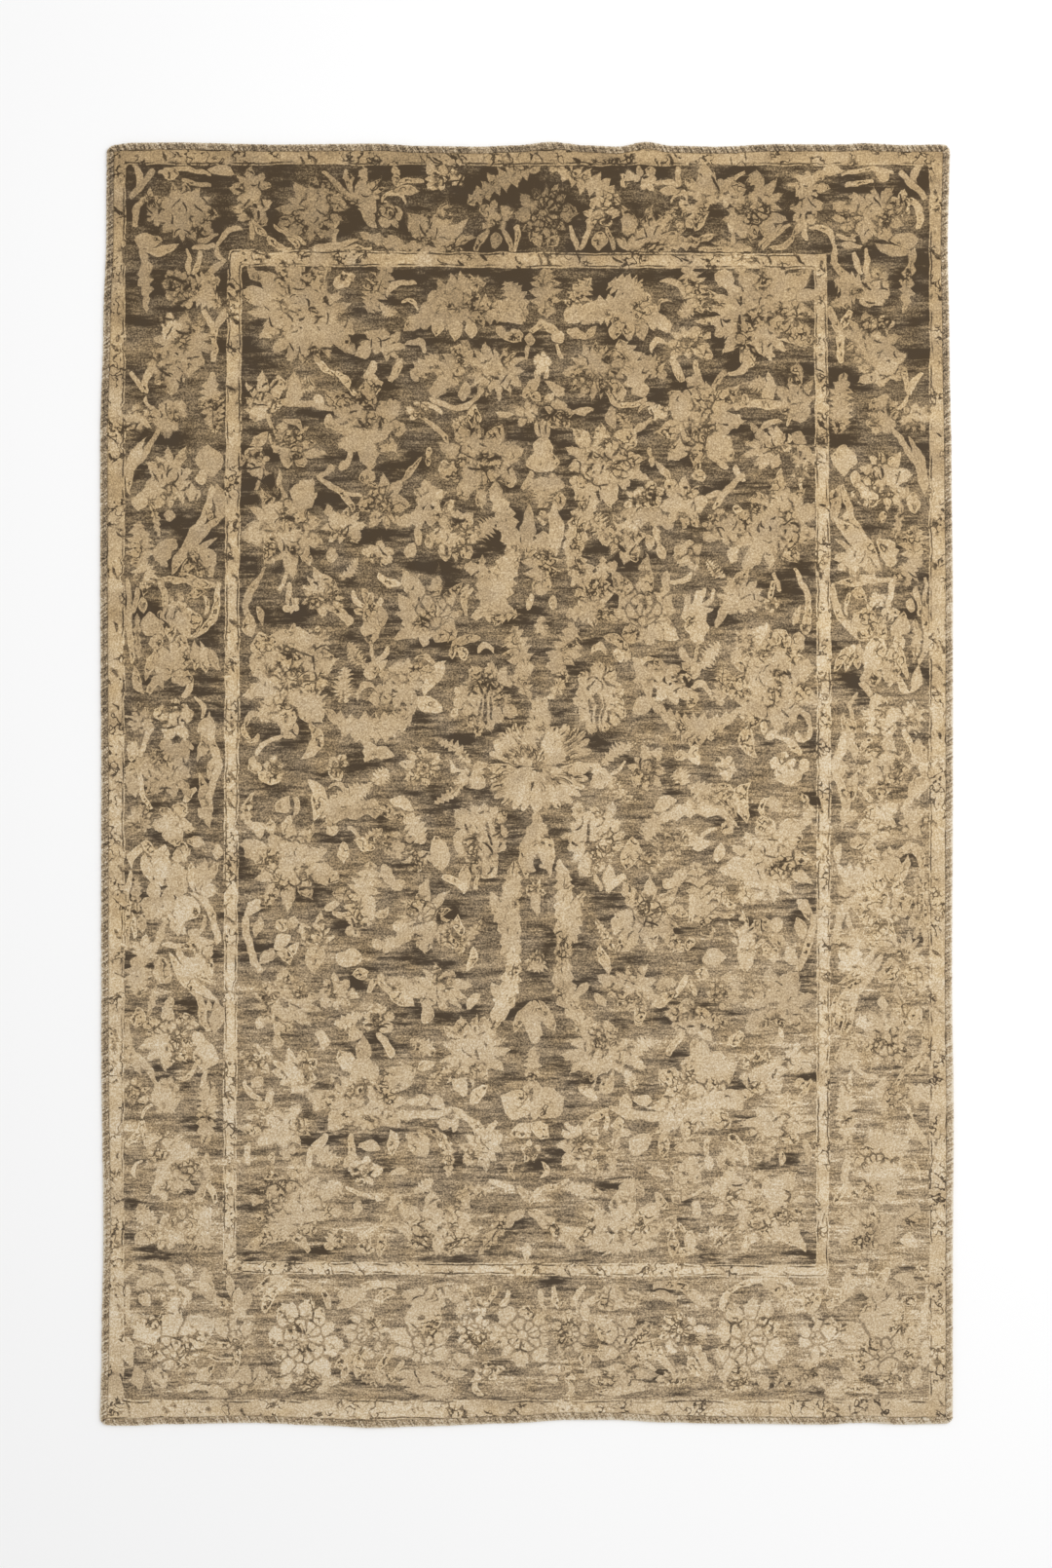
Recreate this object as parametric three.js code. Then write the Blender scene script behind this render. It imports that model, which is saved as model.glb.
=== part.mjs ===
// A flat Afghan rug, about two metres by three: one pile body, with an overcast
// yarn edging along each side and each end.
//
// Millimetres, +Z up, +Y towards the top end. The rug lies flat on z = 0 and the
// origin is the middle of its box there.
import * as THREE from 'three';

// Driving dimensions
const WIDTH = 2000;
const LENGTH = 3000;
const PILE_HEIGHT = 11;
const PILE_SHOULDER = 3;
const PILE_SHOULDER_DROP = 2.4;
const PILE_WAVE = 0.45;
const EDGING_WIDTH = 18;
const EDGING_HEIGHT = 9;
const EDGING_WAVE = 0.35;
const CORNER_RADIUS = 18;
const CORNER_RUN = 9;
const SEWN_GAP = 0.3;
const MITRE_SHIFT = 0.22;

// How finely the rug is stepped
const CELLS_ACROSS = 48;
const CELLS_ALONG = 40;
const CORNER_CELLS = 2;

const COLOURS = {
  pile: 0x8a7858,
  edging: 0x6f6048,
};

// How far each edge lies outside the plain rectangle, in mm. "at" runs from the
// left corner to the right one, or from the bottom corner to the top one.
const TOP_EDGE = [
  { at: 0.0, out: 1 },
  { at: 0.03, out: 8 },
  { at: 0.08, out: 9 },
  { at: 0.2, out: 4 },
  { at: 0.32, out: 6 },
  { at: 0.37, out: 1 },
  { at: 0.44, out: -1 },
  { at: 0.485, out: 2 },
  { at: 0.527, out: 10 },
  { at: 0.57, out: 2 },
  { at: 0.605, out: -1 },
  { at: 0.64, out: 10 },
  { at: 0.67, out: 1 },
  { at: 0.72, out: -1 },
  { at: 0.8, out: 5 },
  { at: 0.87, out: 4 },
  { at: 0.9, out: 7 },
  { at: 0.94, out: 3 },
  { at: 1.0, out: 4 },
];
const BOTTOM_EDGE = [
  { at: 0.0, out: 6 },
  { at: 0.03, out: 8 },
  { at: 0.08, out: 4 },
  { at: 0.18, out: 1 },
  { at: 0.26, out: 7 },
  { at: 0.32, out: 13 },
  { at: 0.38, out: 9 },
  { at: 0.48, out: 2 },
  { at: 0.55, out: -6 },
  { at: 0.6, out: -6 },
  { at: 0.66, out: 0 },
  { at: 0.74, out: 3 },
  { at: 0.85, out: 5 },
  { at: 0.89, out: 1 },
  { at: 0.94, out: 5 },
  { at: 1.0, out: 3 },
];
const LEFT_EDGE = [
  { at: 0.0, out: 4 },
  { at: 0.06, out: 0 },
  { at: 0.15, out: -4 },
  { at: 0.3, out: 1 },
  { at: 0.5, out: 1 },
  { at: 0.65, out: 3 },
  { at: 0.77, out: 3 },
  { at: 0.86, out: -4 },
  { at: 0.93, out: -11 },
  { at: 1.0, out: -12 },
];
const RIGHT_EDGE = [
  { at: 0.0, out: 1 },
  { at: 0.12, out: 1 },
  { at: 0.24, out: 3 },
  { at: 0.35, out: -1 },
  { at: 0.5, out: 1 },
  { at: 0.65, out: 1 },
  { at: 0.74, out: -2 },
  { at: 0.85, out: -7 },
  { at: 0.92, out: -11 },
  { at: 1.0, out: -6 },
];

// The edging's section: "inset" is measured in from the outer edge, as a share of
// its width, and "up" is a share of its height.
const EDGING_SECTION = [
  { inset: 1.0, up: 0.0 },
  { inset: 0.17, up: 0.0 },
  { inset: 0.05, up: 0.17 },
  { inset: 0.0, up: 0.46 },
  { inset: 0.05, up: 0.76 },
  { inset: 0.18, up: 0.94 },
  { inset: 0.5, up: 1.0 },
  { inset: 1.0, up: 1.0 },
];

// The value of an edge table at a share of the way along it, eased between rows.
function edgeOut(table, at) {
  const last = table.length - 1;
  let row = 0;
  while (row < last - 1 && table[row + 1].at < at) {
    row += 1;
  }
  const from = table[row];
  const to = table[row + 1];
  const share = THREE.MathUtils.smoothstep(at, from.at, to.at);
  return THREE.MathUtils.lerp(from.out, to.out, share);
}

// Moves a point of the plain rectangle to its place in the uneven rug.
function onRug(x, y) {
  const across = THREE.MathUtils.clamp(x / WIDTH + 0.5, 0, 1);
  const along = THREE.MathUtils.clamp(y / LENGTH + 0.5, 0, 1);
  const leftShift = -edgeOut(LEFT_EDGE, along) * (1 - across);
  const rightShift = edgeOut(RIGHT_EDGE, along) * across;
  const bottomShift = -edgeOut(BOTTOM_EDGE, across) * (1 - along);
  const topShift = edgeOut(TOP_EDGE, across) * along;
  return { x: x + leftShift + rightShift, y: y + bottomShift + topShift };
}

// The middle of the rug's box, which becomes the origin.
function boxMiddle() {
  const box = new THREE.Box2();
  const steps = 400;
  for (let i = 0; i <= steps; i += 1) {
    const x = (i / steps - 0.5) * WIDTH;
    const y = (i / steps - 0.5) * LENGTH;
    const places = [
      onRug(x, LENGTH / 2),
      onRug(x, -LENGTH / 2),
      onRug(WIDTH / 2, y),
      onRug(-WIDTH / 2, y),
    ];
    for (const place of places) {
      box.expandByPoint(new THREE.Vector2(place.x, place.y));
    }
  }
  return box.getCenter(new THREE.Vector2());
}

const MIDDLE = boxMiddle();

// The height of the pile, which lies in slow, shallow waves.
function pileTop(x, y) {
  const slow = Math.sin(x / 290 + 1.3) * Math.cos(y / 370);
  const quick = Math.sin(x / 113 + y / 171);
  return PILE_HEIGHT + PILE_WAVE * (0.7 * slow + 0.3 * quick);
}

// Adds a point of the plain rectangle to a mesh's list and returns its number.
function addPoint(points, x, y, z) {
  const place = onRug(x, y);
  points.push(place.x - MIDDLE.x, place.y - MIDDLE.y, z);
  return points.length / 3 - 1;
}

// Joins two rings of the same length with triangles.
function joinRings(triangles, lower, upper) {
  const count = lower.length;
  for (let i = 0; i < count; i += 1) {
    const next = (i + 1) % count;
    triangles.push(lower[i], lower[next], upper[next]);
    triangles.push(lower[i], upper[next], upper[i]);
  }
}

// Closes the foot of the rug with flat triangles that face down.
function fillFoot(triangles, points, ring) {
  const outline = ring.map((index) => new THREE.Vector2(points[3 * index], points[3 * index + 1]));
  for (const [a, b, c] of THREE.ShapeUtils.triangulateShape(outline, [])) {
    triangles.push(ring[a], ring[c], ring[b]);
  }
}

function makeMesh(name, points, triangles, colour) {
  const geometry = new THREE.BufferGeometry();
  geometry.setAttribute('position', new THREE.Float32BufferAttribute(points, 3));
  geometry.setIndex(triangles);
  const material = new THREE.MeshStandardMaterial({ color: colour, roughness: 0.95, metalness: 0 });
  const mesh = new THREE.Mesh(geometry, material);
  mesh.name = name;
  return mesh;
}

// The columns or rows of the pile's grid: evenly spaced, and closer next to the
// corners, where the edging turns.
function gridLines(halfSize, cells) {
  const evenEnd = halfSize - CORNER_RUN;
  const even = Array.from({ length: cells + 1 }, (_, i) => (2 * i / cells - 1) * evenEnd);
  const corner = Array.from({ length: CORNER_CELLS }, (_, i) => {
    return evenEnd + CORNER_RUN * (i + 1) / CORNER_CELLS;
  });
  return [...corner.map((line) => -line).reverse(), ...even, ...corner];
}

// The grid points round the rim, anticlockwise from the bottom left corner.
function rimPlaces(columns, rows) {
  const places = [];
  const lastColumn = columns.length - 1;
  const lastRow = rows.length - 1;
  for (let i = 0; i < lastColumn; i += 1) {
    places.push([i, 0]);
  }
  for (let j = 0; j < lastRow; j += 1) {
    places.push([lastColumn, j]);
  }
  for (let i = lastColumn; i > 0; i -= 1) {
    places.push([i, lastRow]);
  }
  for (let j = lastRow; j > 0; j -= 1) {
    places.push([0, j]);
  }
  return places;
}

// The pile and its foundation: a flat underside, an upright wall, a rounded
// shoulder and a top in shallow waves.
function makePileBody() {
  const inset = EDGING_WIDTH + SEWN_GAP;
  const wallColumns = gridLines(WIDTH / 2 - inset, CELLS_ACROSS);
  const wallRows = gridLines(LENGTH / 2 - inset, CELLS_ALONG);
  const topColumns = gridLines(WIDTH / 2 - inset - PILE_SHOULDER, CELLS_ACROSS);
  const topRows = gridLines(LENGTH / 2 - inset - PILE_SHOULDER, CELLS_ALONG);
  const points = [];
  const triangles = [];
  const top = topColumns.map((x) => topRows.map((y) => addPoint(points, x, y, pileTop(x, y))));
  for (let i = 0; i < topColumns.length - 1; i += 1) {
    for (let j = 0; j < topRows.length - 1; j += 1) {
      triangles.push(top[i][j], top[i + 1][j], top[i + 1][j + 1]);
      triangles.push(top[i][j], top[i + 1][j + 1], top[i][j + 1]);
    }
  }
  const places = rimPlaces(topColumns, topRows);
  const topRing = places.map(([i, j]) => top[i][j]);
  const shoulderRing = places.map(([i, j]) => {
    const height = pileTop(wallColumns[i], wallRows[j]) - PILE_SHOULDER_DROP;
    return addPoint(points, wallColumns[i], wallRows[j], height);
  });
  const footRing = places.map(([i, j]) => addPoint(points, wallColumns[i], wallRows[j], 0));
  joinRings(triangles, footRing, shoulderRing);
  joinRings(triangles, shoulderRing, topRing);
  fillFoot(triangles, points, footRing);
  return makeMesh('rug_pile', points, triangles, COLOURS.pile);
}

// The stations of a strip of edging, as pairs of an inner and an outer place. The
// strip runs along its own u axis at the distance "reach" from the middle. The
// inner places face the pile's grid lines, and the ends are mitred on the rug's
// rounded corners.
function edgingStations(halfRun, reach, cells) {
  const innerEnd = halfRun - EDGING_WIDTH;
  const lines = gridLines(innerEnd - SEWN_GAP, cells);
  const last = lines.length - 1;
  return lines.map((line, i) => {
    const side = Math.sign(line);
    const cornerShare = 1 - Math.min(i, last - i) / CORNER_CELLS;
    if (cornerShare < 0) {
      return { innerU: line, outerU: line, outerV: reach };
    }
    const angle = Math.PI / 2 - cornerShare * Math.PI / 4;
    const station = {
      innerU: line,
      outerU: side * (halfRun - CORNER_RADIUS + Math.cos(angle) * CORNER_RADIUS),
      outerV: reach - CORNER_RADIUS + Math.sin(angle) * CORNER_RADIUS,
    };
    if (cornerShare === 1) {
      station.innerU = side * (innerEnd - MITRE_SHIFT);
      station.outerU -= side * MITRE_SHIFT;
    }
    return station;
  });
}

// One strip of overcast edging. "place" turns its own u and v into the rug's x
// and y; a strip whose u and v are swapped is wound the other way round.
function makeEdging(name, halfRun, reach, cells, place, winding) {
  const innerV = reach - EDGING_WIDTH;
  const points = [];
  const triangles = [];
  const rings = edgingStations(halfRun, reach, cells).map((station, count) => {
    const swell = 1 + (EDGING_WAVE / EDGING_HEIGHT) * Math.sin(count * 1.7);
    return EDGING_SECTION.map(({ inset, up }) => {
      const u = THREE.MathUtils.lerp(station.outerU, station.innerU, inset);
      const v = THREE.MathUtils.lerp(station.outerV, innerV, inset);
      const [x, y] = place(u, v);
      return addPoint(points, x, y, up * EDGING_HEIGHT * swell);
    });
  });
  for (let i = 0; i < rings.length - 1; i += 1) {
    joinRings(triangles, rings[i], rings[i + 1]);
  }
  closeEnd(triangles, rings[0], 1);
  closeEnd(triangles, rings[rings.length - 1], -1);
  if (winding < 0) {
    for (let i = 0; i < triangles.length; i += 3) {
      [triangles[i + 1], triangles[i + 2]] = [triangles[i + 2], triangles[i + 1]];
    }
  }
  return makeMesh(name, points, triangles, COLOURS.edging);
}

// Closes the end of a strip with a fan from its first point.
function closeEnd(triangles, ring, facing) {
  for (let i = 1; i < ring.length - 1; i += 1) {
    if (facing > 0) {
      triangles.push(ring[0], ring[i + 1], ring[i]);
    } else {
      triangles.push(ring[0], ring[i], ring[i + 1]);
    }
  }
}

const rug = new THREE.Group();
rug.name = 'afghan_rug';
rug.add(makePileBody());
rug.add(makeEdging('edging_top', WIDTH / 2, LENGTH / 2, CELLS_ACROSS, (u, v) => [u, v], 1));
rug.add(makeEdging('edging_bottom', WIDTH / 2, LENGTH / 2, CELLS_ACROSS, (u, v) => [u, -v], -1));
rug.add(makeEdging('edging_right', LENGTH / 2, WIDTH / 2, CELLS_ALONG, (u, v) => [v, u], -1));
rug.add(makeEdging('edging_left', LENGTH / 2, WIDTH / 2, CELLS_ALONG, (u, v) => [-v, u], 1));

export default rug;
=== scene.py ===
# A flat Afghan rug, about two metres by three: a short wool pile with quartered
# flowers on a faded umber ground, and overcast yarn round its rim.
#
# Lengths are in metres unless a name says otherwise. Places in the pattern are
# counted in knots on a weaver's chart, to the right and down from its upper left
# corner. The script builds the pile, draws the pattern on it as places within each
# motif, and sews the edging round it.
import math

import bmesh
import bpy
import numpy as np
from mathutils import Matrix


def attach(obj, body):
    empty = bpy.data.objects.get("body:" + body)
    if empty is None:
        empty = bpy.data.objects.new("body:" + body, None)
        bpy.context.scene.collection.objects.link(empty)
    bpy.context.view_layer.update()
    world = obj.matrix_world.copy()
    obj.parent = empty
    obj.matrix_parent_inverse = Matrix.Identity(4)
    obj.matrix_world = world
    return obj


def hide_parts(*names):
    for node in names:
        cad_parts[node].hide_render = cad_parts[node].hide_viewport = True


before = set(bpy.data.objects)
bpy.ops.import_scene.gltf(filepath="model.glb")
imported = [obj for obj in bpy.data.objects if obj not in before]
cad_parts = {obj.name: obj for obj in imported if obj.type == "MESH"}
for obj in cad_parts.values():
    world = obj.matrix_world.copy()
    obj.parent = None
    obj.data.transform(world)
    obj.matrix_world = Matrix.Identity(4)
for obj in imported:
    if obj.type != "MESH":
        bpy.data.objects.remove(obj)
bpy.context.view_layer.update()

# Driving sizes
MM = 0.001
KNOT = 2.29 * MM
RUG_WIDTH = 2000 * MM
RUG_LENGTH = 3000 * MM
EDGING_WIDTH = 18 * MM
SEWN_GAP = 0.3 * MM
PILE_HEIGHT = 11 * MM
PILE_SHOULDER = 3 * MM
PILE_SHOULDER_DROP = 2.4 * MM
PILE_CELL = 8 * MM
EDGING_HEIGHT = 9 * MM
MITRE_GAP = 0.6 * MM

# The pile isn't quite level: how far it rises and falls, and over what lengths
# across and along the rug, slowly and quickly
PILE_WAVE = 0.45 * MM
SLOW_WAVE = (290 * MM, 370 * MM)
QUICK_WAVE = (113 * MM, 171 * MM)
SLOW_SHARE = 0.7
WAVE_START = 1.3

# The pile's mesh is first made at these levels, which its real heights then replace.
TOP_LEVEL = 1.0
SHOULDER_LEVEL = 0.5
UNDERSIDE_LEVEL = 0.0

# The edging's yarn, where it starts under the pile's edge and how much it slants. Its
# turns differ in their tint, in their place along the edge and how far they reach out,
# both in mm, and in their height, as a share.
YARN_PITCH = 4.5 * MM
YARN_WIDTH = 5.2 * MM
YARN_THICKNESS = 2.4 * MM
YARN_START = 0.3 * MM
YARN_SIDES = 6
YARN_BEND_STEPS = 4
YARN_SLANT = 0.55
TURN_TINT = (-0.5, 0.5)
TURN_SHIFT = (-0.5, 0.5)
TURN_OUT = (-0.8, 0.1)
TURN_HEIGHT = (0.93, 1.0)

# The picture is as large as the weaver's chart, which has the rug's middle and the
# pattern's centre here. One pixel is one knot.
CHART_WIDTH = 1080
CHART_HEIGHT = 1610
RUG_MIDDLE = (540.8, 806.0)
PATTERN_CENTRE = (551.0, 787.0)
CENTRE_X, CENTRE_Y = PATTERN_CENTRE

# The camera, the plain floor and the soft light above it
CAMERA_HEIGHT = 6.0
CAMERA_REACH = 50.0
SENSOR_WIDTH_MM = 36.0
FLOOR_HALF = 12.0
FLOOR_SHADE = 0.93
FLOOR_ROUGHNESS = 0.9
ROOM_LIGHT = 0.75
SOFTBOX_SIZE = 5.0
SOFTBOX_POWER = 160.0
SOFTBOX_PLACE = (2.6, 1.5, 5.0)
SOFTBOX_TURN = (-15.0, 26.0, 0.0)

# Wool scatters the light and hardly shines.
WOOL_ROUGHNESS = 0.95
WOOL_SPECULAR = 0.1

# How far each edge lies outside the plain rectangle, in mm, as (share of the way
# along it, mm). Ends run from the left, sides from the bottom.
TOP_EDGE = (
    (0.0, 1), (0.03, 8), (0.08, 9), (0.2, 4), (0.32, 6), (0.37, 1), (0.44, -1), (0.485, 2),
    (0.527, 10), (0.57, 2), (0.605, -1), (0.64, 10), (0.67, 1), (0.72, -1), (0.8, 5),
    (0.87, 4), (0.9, 7), (0.94, 3), (1.0, 4),
)
BOTTOM_EDGE = (
    (0.0, 6), (0.03, 8), (0.08, 4), (0.18, 1), (0.26, 7), (0.32, 13), (0.38, 9), (0.48, 2),
    (0.55, -6), (0.6, -6), (0.66, 0), (0.74, 3), (0.85, 5), (0.89, 1), (0.94, 5), (1.0, 3),
)
LEFT_EDGE = (
    (0.0, 4), (0.06, 0), (0.15, -4), (0.3, 1), (0.5, 1), (0.65, 3), (0.77, 3), (0.86, -4),
    (0.93, -11), (1.0, -12),
)
RIGHT_EDGE = (
    (0.0, 1), (0.12, 1), (0.24, 3), (0.35, -1), (0.5, 1), (0.65, 1), (0.74, -2), (0.85, -7),
    (0.92, -11), (1.0, -6),
)

# The yarns' colours from the deepest umber to the palest cream, each with how far
# along that scale it lies
YARNS = ((0.03, "4b4034"), (0.3, "7c6d59"), (0.58, "ad9779"), (0.77, "cbb695"), (0.96, "e0d4bf"))
WARM_TINT = "fff8e8"

# Noises in the pile, by the size of their spots in mm. The drawing wanders and sways
# by the first two. The grain is the yarn's cut ends, and thin dark lines wind along the
# last.
SPOTS = (
    # name, mm, detail, roughness
    ("wander", 17.241, 1.6, 0.5),
    ("sway", 52.632, 1.0, 0.5),
    ("grain", 4.0, 2.0, 0.8),
    ("wind", 26.316, 2.0, 0.6),
)
# These are stretched across the rug, along its rows of knots: where wear has bitten
# into the drawing, and how the dye changes from row to row and from patch to patch.
ROW_SPOTS = (
    # name, mm across the rug, mm along it, detail, roughness
    ("bite", 25.0, 10.526, 3.0, 0.5),
    ("streak", 111.11, 16.129, 4.0, 0.8),
    ("patch", 142.86, 71.429, 4.0, 0.5),
)
GRAIN_DEPTH = 1.2 * MM
GRAIN_STRENGTH = 0.35

# The edging's own: the flecks of its fibre, and how slowly its dye changes
YARN_SPOTS = (
    ("fleck", 4.1667, 2.0, 0.7),
    ("slow", 166.67, 2.0, 0.5),
)
FLECK_DEPTH = 1.0 * MM
FLECK_STRENGTH = 0.5

# The kinds of flower. "petals" go right round, "heart" is how far down the flower
# its petals meet (0 the middle, 1 the rim), "cut" how deep they are parted,
# "point" 0.3 for round and 1 for pointed, "ring" the inner flower's size, "lines"
# how dark its drawing is, half of which at 1 is there even where the others' is worn,
# "tone" 1 for tan yarn and 2 for cream.
FLOWERS = {
    # name: (petals, heart, cut, point, ring, lines, tone)
    "peony": (10, 0.0, 0.36, 0.9, 0.5, 0.8, 1.1),
    "rosette": (8, 0.0, 0.36, 0.85, 0.45, 0.7, 1.1),
    "daisy": (15, 0.0, 0.34, 1.0, 0.36, 0.6, 1.15),
    "lily": (8, 0.15, 0.38, 0.9, 0.3, 0.7, 1.15),
    "fan": (11, 0.72, 0.42, 0.95, 0.4, 0.9, 1.15),
    "lotus": (9, 0.6, 0.5, 1.0, 0.42, 1.0, 1.15),
    "blossom": (5, 0.0, 0.42, 0.6, 0.3, 0.8, 1.25),
    "mum": (12, 0.0, 0.32, 0.85, 0.5, 0.8, 1.05),
    "tulip": (5, 0.62, 0.55, 0.8, 0.0, 0.5, 1.15),
    "bloom": (9, 0.0, 0.22, 0.55, 0.5, 0.45, 1.1),
    "egg": (13, 0.1, 0.2, 0.7, 0.55, 0.9, 1.1),
    "cell": (10, 0.0, 0.3, 0.55, 0.5, 1.0, 1.3),
    "cup": (7, 0.45, 0.36, 0.6, 0.3, 1.0, 1.3),
}

# The kinds of leaf. "taper" is 0.1 for an even band and 1 for a pointed leaf,
# "teeth" along each side, "tooth" how deep they are cut, "rib" the dark rib and
# veins, or past 1 hatching along the leaf, "tone" 0 for dark yarn, 1 for tan and 2
# for cream.
LEAVES = {
    # name: (taper, teeth, tooth, rib, tone)
    "stem": (0.2, 0, 0.0, 0.0, 1.2),
    "leaf": (0.95, 0, 0.0, 0.2, 1.15),
    "dot": (0.65, 0, 0.0, 0.0, 1.2),
    "bud": (0.7, 2, 0.25, 0.3, 1.15),
    "saw": (0.75, 6, 0.52, 0.6, 1.1),
    "frond": (0.6, 8, 0.65, 0.8, 1.15),
    "saz": (0.75, 10, 0.45, 0.9, 1.1),
    "plume": (0.85, 8, 0.32, 1.2, 1.15),
    "ray": (0.45, 3, 0.16, 1.6, 1.15),
    "shade": (0.6, 3, 0.2, 0.0, 0.0),
    "stroke": (0.3, 0, 0.0, 0.0, 0.0),
}

# In each table the motif that lies lowest comes first. These are on the upper half of
# the border's left side, and are mirrored to its lower half and to the right side.
QUARTER_FLOWERS = (
    # kind, x, y, radius, squash, turn
    ("bloom", 183, 297, 17, 0.85, 0),
    ("rosette", 176, 378, 21, 1.15, 0),
    ("peony", 188, 354, 27, 0.95, 0),
    ("blossom", 176, 336, 12, 1.0, 0),
    ("rosette", 143, 431, 13, 1.1, 0),
    ("bloom", 176, 428, 17, 0.85, 0),
    ("peony", 175, 493, 29, 0.82, 0),
    ("blossom", 198, 511, 8, 1.0, 0),
    ("blossom", 208, 577, 14, 1.15, 60),
    ("fan", 151, 595, 13, 1.0, 180),
    ("blossom", 184, 617, 10, 1.0, 0),
    ("blossom", 171, 632, 9, 1.0, 0),
    ("blossom", 180, 737, 19, 0.95, 0),
    ("mum", 145, 737, 14, 1.0, 0),
)

QUARTER_LEAVES = (
    # kind, x, y, tip x, tip y, width, bulge
    ("saw", 192, 297, 228, 289, 22, 0),
    ("saw", 194, 301, 228, 313, 18, 0),
    ("dot", 188, 311, 198, 311, 10, 0),
    ("stem", 221, 342, 208, 319, 6, 0),
    ("stem", 221, 342, 232, 317, 6, 0),
    ("stem", 221, 338, 218, 373, 5, 0),
    ("stem", 149, 406, 135, 383, 5, -2),
    ("stem", 149, 406, 159, 378, 5, 2),
    ("stem", 150, 406, 162, 422, 3, -3),
    ("saz", 216, 383, 222, 448, 20, 0),
    ("stem", 165, 438, 136, 481, 5, 3),
    ("leaf", 150, 450, 134, 509, 9, -6),
    ("leaf", 215, 457, 216, 490, 20, 0),
    ("dot", 200, 493, 212, 493, 11, 0),
    ("stem", 217, 499, 191, 558, 6, 5),
    ("leaf", 221, 498, 226, 537, 10, 3),
    ("dot", 212, 529, 220, 529, 8, 0),
    ("dot", 171, 531, 181, 531, 10, 0),
    ("leaf", 228, 532, 177, 588, 11, -6),
    ("leaf", 224, 552, 182, 598, 8, -4),
    ("bud", 179, 554, 167, 582, 17, -4),
    ("leaf", 182, 590, 224, 600, 9, -3),
    ("stem", 167, 596, 191, 597, 4, 0),
    ("saw", 144, 586, 144, 537, 25, 0),
    ("leaf", 144, 527, 144, 505, 11, 0),
    ("saw", 156, 517, 164, 554, 7, 0),
    ("leaf", 159, 513, 150, 502, 8, 0),
    ("stem", 133, 592, 134, 643, 4, 0),
    ("stem", 143, 603, 136, 633, 4, 0),
    ("leaf", 148, 630, 148, 613, 7, 0),
    ("stem", 162, 594, 171, 627, 5, 2),
    ("leaf", 193, 614, 211, 609, 9, 2),
    ("stem", 208, 611, 212, 633, 4, 3),
    ("stem", 226, 598, 197, 657, 6, 10),
    ("dot", 178, 640, 209, 640, 22, 0),
    ("leaf", 154, 627, 168, 653, 15, -5),
    ("leaf", 176, 662, 178, 635, 9, 0),
    ("bud", 184, 652, 186, 691, 21, 0),
    ("bud", 167, 664, 174, 702, 16, -3),
    ("dot", 154, 660, 168, 660, 13, 0),
    ("leaf", 159, 666, 151, 698, 7, 0),
    ("leaf", 201, 659, 201, 689, 8, 0),
    ("leaf", 206, 659, 213, 692, 8, 0),
    ("leaf", 211, 664, 226, 689, 7, 0),
    ("bud", 179, 692, 199, 700, 15, 0),
    ("stem", 197, 699, 188, 716, 5, 0),
    ("leaf", 138, 682, 150, 712, 8, -4),
    ("stem", 150, 712, 160, 695, 6, 0),
    ("stem", 158, 696, 172, 705, 5, 3),
    ("stem", 133, 619, 137, 681, 5, -2),
    ("saw", 142, 633, 143, 678, 8, 0),
    ("stem", 158, 748, 143, 781, 5, -3),
    ("leaf", 134, 782, 141, 759, 10, 0),
    ("stem", 188, 757, 202, 770, 5, 0),
    ("leaf", 217, 729, 203, 784, 9, 3),
    ("stem", 217, 753, 226, 787, 6, -2),
    ("leaf", 204, 751, 214, 738, 8, 0),
)

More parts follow.
